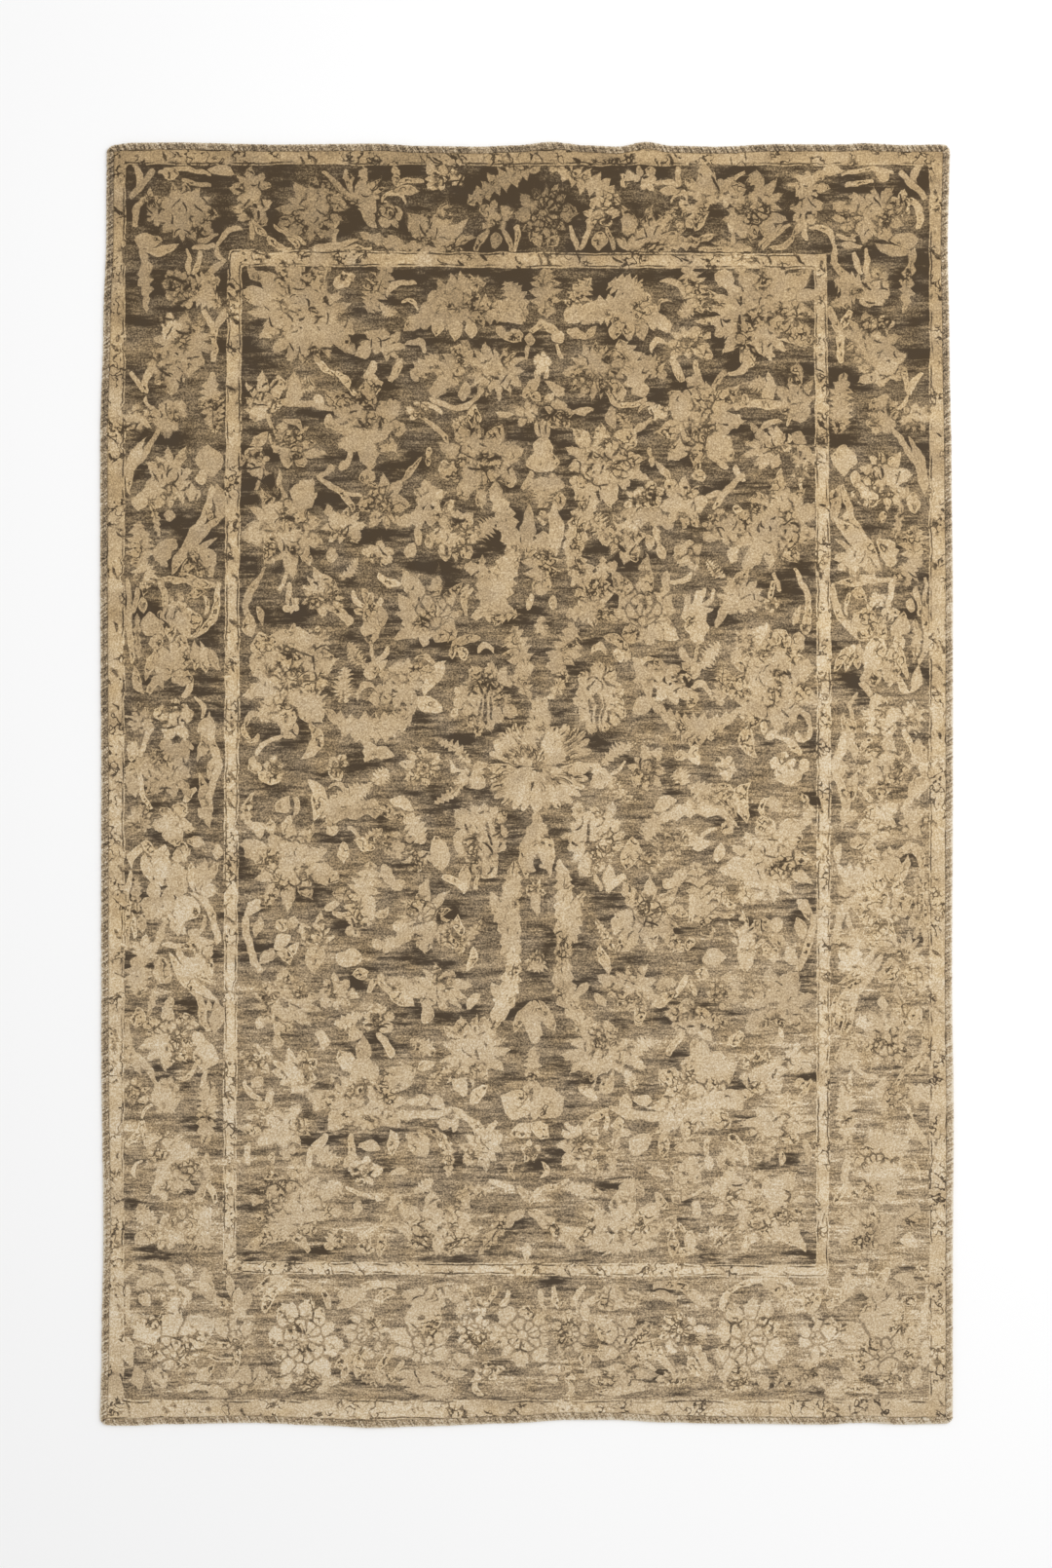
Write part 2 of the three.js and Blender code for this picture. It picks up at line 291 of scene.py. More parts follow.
# The rest of the pattern's left half, each motif mirrored across its middle line
SIDE_FLOWERS = (
    # kind, x, y, radius, squash, turn
    # The field's corner and its upper row
    ("daisy", 320, 331, 42, 1.1, 0),
    ("peony", 300, 315, 44, 1.05, 0),
    ("lily", 394, 353, 14, 1.5, 0),
    ("fan", 272, 401, 24, 0.85, 10),
    ("lily", 378, 431, 44, 0.9, 0),
    ("daisy", 508, 381, 24, 1.15, 0),
    ("fan", 312, 458, 20, 1.0, 70),
    ("blossom", 289, 452, 12, 1.1, 0),
    ("blossom", 265, 473, 9, 1.0, 0),
    ("blossom", 265, 486, 8, 1.0, 30),
    ("blossom", 428, 422, 10, 1.0, 0),
    # The second row
    ("peony", 493, 476, 39, 1.05, 0),
    ("rosette", 353, 541, 17, 1.15, 0),
    ("peony", 294, 541, 45, 0.88, 0),
    ("lily", 395, 515, 24, 0.95, 0),
    ("blossom", 437, 509, 12, 1.1, 0),
    ("blossom", 454, 515, 11, 1.0, 45),
    ("blossom", 390, 569, 13, 1.1, 0),
    ("rosette", 467, 551, 23, 0.95, 0),
    # The third row
    ("mum", 331, 612, 19, 1.05, 0),
    ("blossom", 300, 621, 7, 1.0, 45),
    ("lotus", 446, 613, 32, 1.05, 0),
    ("peony", 297, 697, 46, 0.9, 0),
    ("mum", 327, 659, 13, 1.0, 0),
    ("rosette", 409, 706, 20, 1.0, 0),
    ("egg", 500, 716, 34, 0.74, 0),
    # The border's end
    ("blossom", 157, 213, 15, 0.7, 0),
    ("mum", 190, 222, 27, 1.15, 0),
    ("lily", 258, 190, 16, 1.2, 0),
    ("blossom", 258, 216, 15, 1.25, 0),
    ("mum", 321, 215, 30, 1.0, 0),
    ("fan", 371, 190, 17, 1.3, 0),
    ("blossom", 468, 184, 8, 1.1, 0),
    ("blossom", 447, 188, 8, 1.1, 0),
    ("blossom", 399, 222, 15, 0.8, 0),
    ("fan", 450, 232, 28, 1.15, 0),
    ("blossom", 508, 222, 15, 1.25, 0),
    # The middle
    ("blossom", 541, 425, 13, 1.0, 0),
    ("blossom", 282, 787, 13, 0.9, 0),
    ("blossom", 345, 786, 12, 0.8, 30),
    ("lily", 431, 788, 20, 1.0, -90),
    ("rosette", 173, 789, 28, 0.95, 0),
    # The lower field
    ("egg", 495, 857, 33, 0.82, 0),
    ("peony", 298, 886, 38, 1.08, 0),
    ("rosette", 409, 868, 13, 1.1, 0),
    ("fan", 431, 887, 12, 1.3, 180),
    ("fan", 434, 962, 25, 1.25, 180),
    ("lotus", 432, 926, 22, 1.25, 0),
    ("fan", 324, 955, 18, 0.95, 0),
    ("peony", 292, 1028, 29, 1.12, 0),
    ("rosette", 345, 1018, 15, 1.15, 0),
    ("peony", 452, 1014, 22, 1.3, 0),
    ("blossom", 387, 1045, 15, 1.3, 0),
    ("blossom", 264, 1086, 15, 0.95, 0),
    ("lily", 303, 1099, 19, 1.2, 0),
    ("lily", 376, 1122, 42, 1.08, 0),
    ("daisy", 484, 1080, 31, 1.05, 0),
    ("peony", 287, 1155, 20, 1.7, 0),
    ("rosette", 494, 1178, 21, 1.05, 0),
    ("blossom", 376, 1203, 14, 1.1, 0),
    ("blossom", 300, 1184, 8, 1.2, 0),
    ("peony", 300, 1236, 38, 1.25, 0),
    ("fan", 450, 1248, 32, 1.5, 0),
    # The border's lower end
    ("blossom", 180, 1330, 15, 1.2, 0),
    ("cup", 178, 1370, 31, 1.15, 0),
    ("cup", 242, 1364, 21, 1.0, 0),
    ("cell", 312, 1376, 36, 0.88, 0),
    ("cell", 377, 1368, 21, 0.95, 0),
    ("cup", 434, 1368, 27, 1.1, 0),
    ("blossom", 442, 1331, 12, 1.8, 0),
    ("cell", 489, 1369, 19, 0.95, 0),
    ("blossom", 490, 1340, 9, 1.2, 0),
    ("blossom", 165, 1415, 10, 1.2, 0),
    ("rosette", 252, 1413, 13, 1.5, 0),
    ("blossom", 322, 1418, 9, 2.2, 0),
    ("blossom", 440, 1412, 12, 2.6, 0),
    ("blossom", 500, 1408, 9, 1.6, 0),
)

SIDE_LEAVES = (
    # kind, x, y, tip x, tip y, width, bulge
    # The field's corner
    ("leaf", 254, 274, 269, 291, 8, 0),
    ("leaf", 281, 271, 294, 281, 7, 0),
    ("leaf", 300, 270, 314, 279, 7, 0),
    ("leaf", 327, 272, 341, 278, 8, 0),
    ("bud", 342, 291, 365, 284, 15, 0),
    ("leaf", 350, 337, 365, 344, 9, 0),
    ("leaf", 380, 340, 394, 348, 10, 0),
    ("leaf", 365, 367, 382, 358, 10, 0),
    ("stem", 323, 357, 347, 386, 5, -6),
    ("stem", 346, 384, 364, 404, 5, 3),
    ("leaf", 268, 412, 264, 435, 15, 0),
    ("bud", 301, 417, 302, 384, 12, 0),
    ("leaf", 304, 414, 311, 399, 5, 0),
    ("stem", 385, 370, 378, 389, 5, 0),
    ("stem", 411, 369, 402, 393, 5, 0),
    ("bud", 383, 404, 383, 384, 13, 0),
    ("stem", 363, 459, 348, 481, 5, 2),
    ("stem", 382, 465, 379, 484, 5, 0),
    ("leaf", 379, 482, 376, 497, 11, 0),
    ("stem", 276, 418, 342, 421, 6, 4),
    ("dot", 323, 411, 333, 411, 10, 0),
    ("dot", 332, 433, 343, 433, 10, 0),
    ("stem", 273, 423, 279, 441, 3, 0),
    ("stem", 288, 434, 311, 445, 5, 5),
    ("leaf", 291, 465, 297, 482, 8, 0),
    ("leaf", 302, 466, 312, 482, 8, 0),
    ("leaf", 258, 457, 275, 447, 9, 0),
    ("leaf", 251, 469, 268, 460, 8, 0),
    ("dot", 244, 473, 254, 473, 10, 0),
    ("stem", 264, 492, 262, 503, 3, 0),
    ("leaf", 288, 482, 286, 505, 5, 0),
    ("frond", 396, 271, 378, 323, 25, 0),
    ("stem", 397, 304, 427, 289, 5, 5),
    # The big palmette of leaves beside the middle line
    ("saz", 415, 337, 525, 327, 32, 14),
    ("saw", 438, 314, 499, 290, 25, 5),
    ("leaf", 433, 323, 416, 342, 10, 0),
    ("leaf", 452, 328, 449, 348, 10, 0),
    ("leaf", 468, 328, 467, 351, 10, 0),
    ("leaf", 482, 328, 486, 348, 10, 0),
    ("leaf", 500, 321, 525, 332, 12, 3),
    ("saw", 445, 410, 479, 350, 25, 0),
    ("leaf", 476, 380, 484, 359, 9, 0),
    ("saw", 420, 389, 452, 365, 16, 0),
    ("stem", 417, 353, 438, 363, 5, 6),
    ("leaf", 400, 393, 414, 368, 5, 0),
    ("stem", 442, 410, 498, 403, 5, -11),
    ("bud", 479, 393, 477, 412, 9, 0),
    ("leaf", 487, 417, 483, 439, 10, 3),
    ("stem", 432, 416, 452, 425, 4, 4),
    ("stem", 432, 429, 462, 455, 4, 3),
    ("saw", 464, 441, 480, 426, 9, 0),
    ("dot", 465, 443, 473, 443, 8, 0),
    ("dot", 450, 482, 462, 482, 12, 0),
    ("dot", 434, 475, 442, 475, 8, 0),
    ("dot", 436, 466, 443, 466, 7, 0),
    ("dot", 520, 495, 530, 495, 9, 0),
    ("dot", 487, 514, 497, 514, 9, 0),
    ("leaf", 410, 496, 432, 471, 5, 0),
    # The second row
    ("stem", 342, 479, 327, 493, 5, 0),
    ("stem", 326, 490, 365, 524, 5, 4),
    ("stem", 353, 507, 372, 510, 4, 1),
    ("stem", 459, 519, 467, 531, 3, 0),
    ("saw", 407, 541, 476, 529, 20, 5),
    ("dot", 332, 525, 340, 525, 8, 0),
    ("dot", 335, 570, 347, 570, 11, 0),
    ("frond", 483, 558, 509, 530, 19, 0),
    ("dot", 449, 568, 463, 568, 13, 0),
    ("dot", 433, 557, 445, 557, 11, 0),
    ("leaf", 428, 540, 428, 559, 6, 0),
    ("stem", 479, 632, 480, 600, 4, 3),
    ("stem", 474, 615, 487, 604, 4, 0),
    # The third row
    ("leaf", 438, 636, 411, 641, 10, 0),
    ("leaf", 436, 642, 401, 656, 10, 0),
    ("leaf", 438, 640, 421, 657, 9, 0),
    ("bud", 441, 636, 435, 664, 15, 0),
    ("bud", 444, 638, 468, 657, 21, 0),
    ("leaf", 434, 629, 410, 611, 12, 4),
    ("stem", 463, 677, 489, 653, 8, 5),
    ("dot", 470, 673, 482, 673, 10, 0),
    ("dot", 467, 710, 475, 710, 8, 0),
    ("dot", 465, 722, 477, 722, 12, 0),
    ("dot", 463, 733, 471, 733, 8, 0),
    ("leaf", 458, 677, 437, 717, 11, -4),
    ("saw", 397, 687, 454, 700, 17, 6),
    ("leaf", 427, 715, 456, 731, 13, 0),
    ("leaf", 322, 583, 345, 609, 11, -2),
    ("dot", 338, 603, 348, 603, 10, 0),
    ("stem", 340, 624, 358, 643, 6, 5),
    ("stem", 273, 583, 257, 652, 5, -9),
    ("bud", 254, 629, 258, 653, 11, 0),
    ("leaf", 263, 621, 271, 644, 6, 2),
    ("stem", 296, 588, 286, 607, 3, 0),
    ("stem", 295, 597, 297, 617, 4, 0),
    ("frond", 349, 593, 371, 574, 11, -3),
    ("leaf", 341, 563, 341, 577, 8, 0),
    ("stem", 387, 589, 412, 601, 5, -4),
    ("leaf", 416, 587, 417, 609, 7, 0),
    ("stem", 376, 623, 363, 606, 4, 3),
    ("stem", 379, 622, 374, 604, 4, 0),
    ("stem", 381, 624, 380, 608, 5, 0),
    ("stem", 386, 628, 390, 612, 5, -2),
    ("leaf", 376, 630, 363, 624, 5, 0),
    ("bud", 381, 616, 382, 663, 20, 0),
    ("stem", 382, 658, 383, 690, 3, 0),
    ("dot", 374, 690, 390, 690, 14, 0),
    ("leaf", 392, 642, 393, 621, 8, 0),
    ("frond", 378, 686, 357, 660, 15, 2),
    ("leaf", 387, 691, 396, 680, 6, 0),
    ("dot", 260, 665, 280, 659, 18, 0),
    ("dot", 288, 669, 288, 646, 17, 0),
    ("dot", 307, 669, 307, 644, 21, 0),
    ("dot", 255, 684, 276, 682, 18, 0),
    ("leaf", 318, 684, 344, 672, 17, 0),
    ("leaf", 312, 673, 321, 707, 12, 0),
    ("stem", 297, 651, 302, 640, 4, 0),
    ("saw", 302, 700, 268, 740, 27, 0),
    ("saw", 311, 700, 327, 740, 27, 0),
    ("frond", 353, 723, 352, 684, 18, 0),
    ("stem", 364, 719, 391, 715, 5, 14),
    ("dot", 378, 718, 390, 718, 11, 0),
    ("saz", 331, 729, 431, 721, 27, -24),
    ("leaf", 319, 739, 308, 780, 11, 12),
    ("stem", 268, 731, 252, 747, 5, -4),
    ("stem", 252, 744, 259, 761, 4, -3),
    ("stem", 257, 760, 267, 753, 4, -3),
    ("leaf", 289, 750, 304, 758, 7, -2),
    ("leaf", 305, 740, 306, 754, 6, 0),
    # The border's corner and end
    ("stem", 137, 168, 141, 194, 5, 4),
    ("stem", 159, 176, 134, 206, 5, -2),
    ("stem", 163, 178, 219, 181, 4, 6),
    ("dot", 168, 179, 185, 179, 10, 0),
    ("stem", 148, 204, 139, 235, 5, -3),
    ("stem", 187, 187, 217, 192, 4, 0),
    ("leaf", 216, 176, 243, 181, 10, 2),
    ("stem", 258, 226, 258, 248, 4, 0),
    ("stem", 250, 234, 224, 256, 5, -7),
    ("stem", 224, 254, 230, 270, 5, -2),
    ("stem", 231, 268, 201, 292, 5, 2),
    ("leaf", 260, 228, 273, 244, 8, 0),
    ("stem", 273, 245, 299, 256, 5, -4),
    ("stem", 280, 230, 309, 256, 4, 0),
    ("stem", 287, 230, 314, 253, 3, 0),
    ("stem", 203, 248, 224, 243, 4, -2),
    ("stem", 197, 254, 220, 254, 4, 0),
    ("stem", 193, 256, 193, 284, 4, 0),
    ("stem", 208, 258, 197, 283, 5, 2),
    ("leaf", 138, 247, 167, 250, 13, 0),
    ("leaf", 147, 258, 185, 252, 7, -5),
    ("saw", 144, 255, 153, 323, 12, 3),
    ("dot", 341, 199, 350, 199, 9, 0),
    ("dot", 345, 209, 354, 209, 9, 0),
    ("dot", 334, 229, 350, 229, 15, 0),
    ("dot", 323, 237, 337, 237, 13, 0),
    ("stem", 332, 177, 372, 208, 4, 0),
    ("dot", 402, 178, 410, 178, 8, 0),
    ("dot", 402, 186, 410, 186, 8, 0),
    ("stem", 392, 210, 418, 210, 5, 12),
    ("leaf", 404, 195, 430, 196, 8, 0),
    ("stem", 407, 190, 437, 188, 4, 3),
    ("dot", 436, 177, 446, 177, 9, 0),
    ("dot", 449, 177, 459, 177, 9, 0),
    ("leaf", 368, 202, 386, 219, 11, 0),
    ("leaf", 368, 216, 387, 237, 9, 3),
    ("saw", 365, 240, 433, 256, 12, -3),
    ("leaf", 397, 243, 413, 252, 8, 0),
    ("leaf", 319, 255, 369, 249, 6, 0),
    ("stem", 321, 257, 381, 257, 4, 0),
    ("stem", 345, 238, 345, 253, 4, 0),
    ("leaf", 443, 221, 420, 239, 13, 0),
    ("stem", 516, 232, 524, 259, 4, 0),
    ("leaf", 508, 239, 508, 257, 10, 0),
    ("stem", 500, 237, 488, 259, 4, 0),
    ("stem", 534, 232, 527, 257, 4, 0),
    ("frond", 556, 170, 481, 209, 22, -4),
    ("leaf", 545, 240, 556, 256, 7, 0),
    # Along the middle line, from the top
    ("saw", 537, 331, 517, 287, 20, -3),
    ("leaf", 536, 334, 514, 309, 9, 3),
    ("leaf", 510, 337, 520, 350, 7, 0),
    ("bud", 518, 349, 536, 340, 11, 0),
    ("stem", 559, 330, 545, 345, 5, 0),
    ("dot", 538, 347, 550, 347, 11, 0),
    ("stem", 544, 354, 541, 370, 3, 0),
    ("stem", 551, 381, 553, 391, 4, 0),
    ("leaf", 555, 390, 537, 399, 8, 2),
    ("dot", 536, 402, 545, 406, 8, 0),
    ("leaf", 544, 405, 556, 413, 7, 0),
    ("leaf", 508, 421, 529, 426, 6, -2),
    ("stem", 548, 434, 554, 451, 3, 0),
    ("stem", 555, 432, 557, 451, 3, 0),
    ("stem", 546, 485, 536, 503, 5, 2),
    ("plume", 529, 590, 502, 498, 20, -6),
    ("plume", 508, 645, 531, 556, 22, 5),
    ("leaf", 540, 572, 544, 516, 11, 0),
    ("saw", 500, 634, 497, 571, 17, 0),
    ("saw", 484, 634, 531, 632, 20, 5),
    ("dot", 540, 619, 549, 620, 12, 0),
    ("saw", 544, 693, 526, 641, 24, 3),
    ("saw", 547, 719, 532, 684, 14, 3),
    ("leaf", 463, 668, 495, 655, 9, 4),
    ("stem", 491, 670, 508, 670, 6, 8),
    # The rays of the centre
    ("ray", 547, 784, 502, 772, 9, 0),
    ("ray", 547, 783, 505, 762, 9, 0),
    ("ray", 547, 782, 510, 753, 9, 0),
    ("ray", 548, 781, 518, 747, 9, 0),
    ("ray", 549, 780, 527, 743, 9, 0),
    ("ray", 550, 780, 538, 745, 9, 0),
    ("ray", 547, 790, 502, 799, 9, 0),
    ("ray", 547, 791, 505, 809, 9, 0),
    ("ray", 548, 792, 509, 819, 9, 0),
    ("ray", 549, 793, 517, 826, 9, 0),
    ("ray", 550, 793, 527, 831, 9, 0),
    ("ray", 550, 794, 539, 832, 9, 0),
    ("leaf", 530, 787, 498, 786, 9, 3),
    # Below the centre
    ("saw", 549, 834, 545, 884, 13, 3),
    ("stem", 491, 898, 510, 886, 4, -6),
    ("stem", 493, 896, 487, 914, 3, 0),
    ("plume", 533, 962, 529, 882, 18, 6),
    ("leaf", 539, 902, 548, 842, 13, 2),
    ("stem", 541, 893, 551, 889, 4, 0),
    ("plume", 528, 1000, 505, 915, 18, -5),
    ("plume", 498, 1063, 527, 968, 18, -9),
    ("leaf", 530, 1060, 546, 1028, 10, 2),
    ("leaf", 512, 1026, 505, 1009, 7, 0),
    ("saw", 471, 978, 494, 942, 11, 0),
    ("leaf", 545, 1143, 514, 1124, 24, 0),
    ("leaf", 545, 1152, 527, 1168, 12, 0),
    ("stem", 511, 1151, 497, 1165, 5, 0),
    ("stem", 529, 1192, 529, 1211, 4, -4),
    ("stem", 500, 1211, 529, 1219, 5, -2),
    ("leaf", 541, 1234, 529, 1217, 6, 0),
    ("saw", 541, 1240, 490, 1288, 15, -5),
    # Along the level middle line
    ("dot", 255, 787, 267, 787, 12, 0),
    ("frond", 484, 787, 451, 761, 12, -4),
    ("frond", 482, 790, 445, 826, 10, 4),
    ("frond", 484, 790, 456, 821, 10, 3),
    ("leaf", 481, 791, 476, 810, 6, 0),
    ("leaf", 484, 788, 503, 784, 6, 0),
    ("leaf", 486, 790, 498, 795, 5, 0),
    ("dot", 130, 788, 141, 788, 10, 0),
    ("leaf", 216, 800, 226, 776, 12, 0),
    # The lower field's upper row
    ("saw", 264, 812, 270, 858, 11, -13),
    ("leaf", 283, 835, 300, 818, 11, 0),
    ("stem", 300, 820, 306, 838, 5, 3),
    ("leaf", 318, 800, 324, 845, 12, 8),
    ("dot", 263, 795, 290, 799, 12, 0),
    ("dot", 337, 792, 352, 790, 16, 0),
    ("saz", 330, 838, 385, 806, 21, 3),
    ("saw", 330, 849, 432, 854, 15, 22),
    ("leaf", 400, 820, 426, 832, 10, 2),
    ("saw", 418, 836, 436, 864, 20, 0),
    ("leaf", 260, 842, 270, 862, 11, 3),
    ("leaf", 277, 840, 283, 858, 8, 0),
    ("leaf", 300, 838, 292, 856, 8, 0),
    ("saw", 372, 868, 394, 850, 12, 0),
    ("leaf", 353, 864, 353, 886, 9, 0),
    ("leaf", 364, 862, 384, 872, 9, 0),
    ("leaf", 449, 858, 455, 893, 15, 0),
    ("leaf", 470, 856, 473, 877, 9, 0),
    ("leaf", 476, 888, 480, 913, 9, 0),
    ("stem", 455, 898, 478, 914, 6, 3),
    ("frond", 363, 964, 380, 884, 27, 0),
    ("stem", 381, 918, 383, 945, 5, 0),
    # Below the lotus
    ("leaf", 323, 962, 325, 999, 14, 0),
    ("leaf", 283, 945, 297, 953, 9, 0),
    ("leaf", 303, 941, 297, 955, 8, 0),
    ("stem", 250, 938, 268, 998, 6, -3),
    ("leaf", 269, 940, 262, 963, 8, 0),
    ("leaf", 290, 972, 297, 990, 9, 0),
    ("stem", 335, 935, 348, 925, 5, 0),
    ("leaf", 400, 912, 416, 903, 9, 0),
    ("leaf", 404, 948, 418, 956, 12, 0),
    ("saw", 392, 978, 408, 962, 13, 0),
    ("dot", 345, 984, 372, 984, 13, 0),
    ("dot", 380, 970, 392, 968, 9, 0),
    ("leaf", 470, 940, 474, 960, 8, 0),
    ("stem", 386, 1005, 381, 1020, 5, 0),
    ("stem", 390, 1000, 402, 1022, 5, -2),
    ("leaf", 362, 1002, 380, 996, 10, 0),
    ("saw", 400, 1008, 424, 1014, 14, 0),
    ("leaf", 426, 1032, 402, 1018, 10, 0),
    ("dot", 432, 1042, 446, 1042, 16, 0),
    ("leaf", 478, 1035, 492, 1020, 8, 0),
    ("stem", 284, 1046, 286, 1068, 5, 0),
    ("leaf", 263, 1058, 272, 1044, 8, 0),
    ("saw", 342, 1052, 372, 1044, 15, 0),
    ("leaf", 466, 1060, 480, 1046, 9, 0),
    ("leaf", 492, 1050, 505, 1048, 9, 0),
    # Round the big lily
    ("stem", 327, 1060, 338, 1073, 9, 0),
    ("leaf", 283, 1062, 290, 1074, 7, 0),
    ("leaf", 374, 1098, 374, 1062, 11, 0),
    ("stem", 389, 1060, 404, 1084, 6, 2),
    ("leaf", 350, 1078, 362, 1100, 12, 0),
    ("leaf", 390, 1108, 412, 1096, 9, 0),
    ("leaf", 296, 1100, 300, 1076, 9, 0),
    ("leaf", 310, 1096, 312, 1078, 9, 0),
    ("leaf", 260, 1108, 270, 1116, 10, 0),
    ("stem", 278, 1120, 273, 1140, 6, 2),
    ("stem", 262, 1132, 276, 1142, 6, 3),
    ("leaf", 300, 1122, 326, 1112, 9, 3),
    ("leaf", 322, 1140, 340, 1124, 12, 0),
    ("leaf", 338, 1158, 352, 1142, 14, 0),
    ("leaf", 430, 1096, 448, 1090, 8, 0),
    ("saw", 440, 1120, 452, 1098, 11, 0),
    ("leaf", 466, 1108, 478, 1122, 11, 0),
    ("leaf", 480, 1130, 502, 1114, 9, 0),
    ("dot", 420, 1132, 440, 1130, 9, 0),
    ("stem", 402, 1143, 466, 1138, 6, -5),
    ("stem", 466, 1138, 492, 1164, 5, 4),
    ("stem", 469, 1144, 468, 1160, 4, 0),
    ("leaf", 401, 1158, 403, 1188, 9, 2),
    ("leaf", 416, 1164, 438, 1188, 15, 4),
    ("saw", 452, 1158, 459, 1208, 13, 3),
    ("leaf", 440, 1158, 452, 1166, 8, 0),
    ("stem", 336, 1166, 319, 1180, 7, 0),
    ("stem", 319, 1180, 318, 1197, 5, 0),
    ("stem", 360, 1165, 362, 1186, 5, 0),
    ("dot", 352, 1190, 362, 1192, 12, 0),
    ("leaf", 398, 1206, 420, 1200, 7, 0),
    ("dot", 366, 1176, 392, 1178, 9, 0),
    # The lowest row
    ("stem", 258, 1172, 256, 1196, 5, -3),
    ("dot", 276, 1189, 284, 1189, 9, 0),
    ("leaf", 338, 1212, 352, 1226, 12, 0),
    ("dot", 364, 1238, 374, 1242, 12, 0),
    ("leaf", 386, 1234, 394, 1224, 7, 0),
    ("leaf", 396, 1242, 414, 1226, 8, 0),
    ("leaf", 388, 1246, 402, 1262, 9, 0),
    ("saw", 424, 1222, 446, 1210, 11, 0),
    ("saw", 466, 1226, 504, 1222, 15, 2),
    ("saw", 430, 1256, 424, 1282, 15, 0),
    ("saw", 452, 1258, 450, 1286, 18, 0),
    ("saw", 474, 1254, 482, 1280, 15, 0),
    ("leaf", 370, 1262, 378, 1282, 9, 0),
    ("leaf", 394, 1262, 388, 1290, 8, 0),
    ("leaf", 252, 1284, 296, 1272, 10, 8),
    ("stem", 298, 1266, 318, 1284, 7, 3),
    ("saw", 334, 1282, 352, 1258, 18, 0),
    ("dot", 366, 1280, 384, 1284, 8, 0),
    # The border's lower end
    ("leaf", 212, 1300, 221, 1338, 10, -5),
    ("stem", 220, 1335, 233, 1339, 7, 0),
    ("stem", 116, 1322, 140, 1298, 6, 0),
    ("stem", 131, 1318, 134, 1360, 5, -2),
    ("leaf", 129, 1372, 134, 1402, 9, 0),
    ("leaf", 140, 1322, 168, 1312, 10, 4),
    ("leaf", 170, 1302, 180, 1318, 8, 0),
    ("leaf", 190, 1296, 200, 1308, 9, 0),
    ("stem", 197, 1318, 216, 1326, 6, 4),
    ("leaf", 137, 1402, 146, 1424, 9, 0),
    ("leaf", 236, 1308, 238, 1332, 8, 0),
    ("leaf", 247, 1322, 243, 1346, 8, 0),
    ("leaf", 257, 1326, 246, 1348, 9, 0),
    ("stem", 243, 1382, 245, 1402, 6, 0),
    ("stem", 262, 1328, 296, 1312, 6, 5),
    ("stem", 268, 1346, 298, 1314, 7, 4),
    ("stem", 298, 1313, 332, 1326, 5, 3),
    ("stem", 331, 1322, 337, 1346, 6, 3),
    ("leaf", 345, 1326, 358, 1330, 7, 0),
    ("leaf", 350, 1344, 380, 1324, 11, 3),
    ("stem", 374, 1322, 410, 1320, 7, 4),
    ("leaf", 384, 1336, 408, 1326, 8, 2),
    ("leaf", 352, 1372, 366, 1364, 10, 0),
    ("stem", 348, 1402, 362, 1386, 8, 0),
    ("stem", 401, 1382, 388, 1408, 6, 2),
    ("leaf", 372, 1388, 366, 1412, 8, 0),
    ("stem", 404, 1408, 414, 1398, 4, 0),
    ("leaf", 200, 1416, 220, 1402, 9, 0),
    ("leaf", 178, 1408, 204, 1404, 8, 2),
    ("stem", 182, 1428, 214, 1424, 5, 2),
    ("leaf", 210, 1424, 236, 1432, 10, 0),
    ("saw", 268, 1404, 284, 1424, 13, 0),
    ("leaf", 300, 1410, 290, 1426, 8, 0),
    ("leaf", 328, 1416, 340, 1404, 8, 0),
    ("leaf", 350, 1416, 358, 1400, 7, 0),
    ("stem", 456, 1322, 476, 1336, 6, -3),
    ("stem", 476, 1318, 486, 1340, 5, 2),
    ("stem", 508, 1318, 500, 1340, 5, 2),
    ("stem", 522, 1322, 514, 1342, 4, 2),
    ("leaf", 420, 1338, 430, 1324, 8, 0),
    ("dot", 470, 1344, 480, 1346, 14, 0),
    ("leaf", 414, 1386, 430, 1394, 8, 0),
    ("leaf", 446, 1394, 462, 1386, 8, 0),
    ("leaf", 482, 1416, 520, 1408, 9, 5),
    ("leaf", 514, 1388, 530, 1392, 8, 0),
    ("dot", 414, 1426, 462, 1428, 7, 0),
)

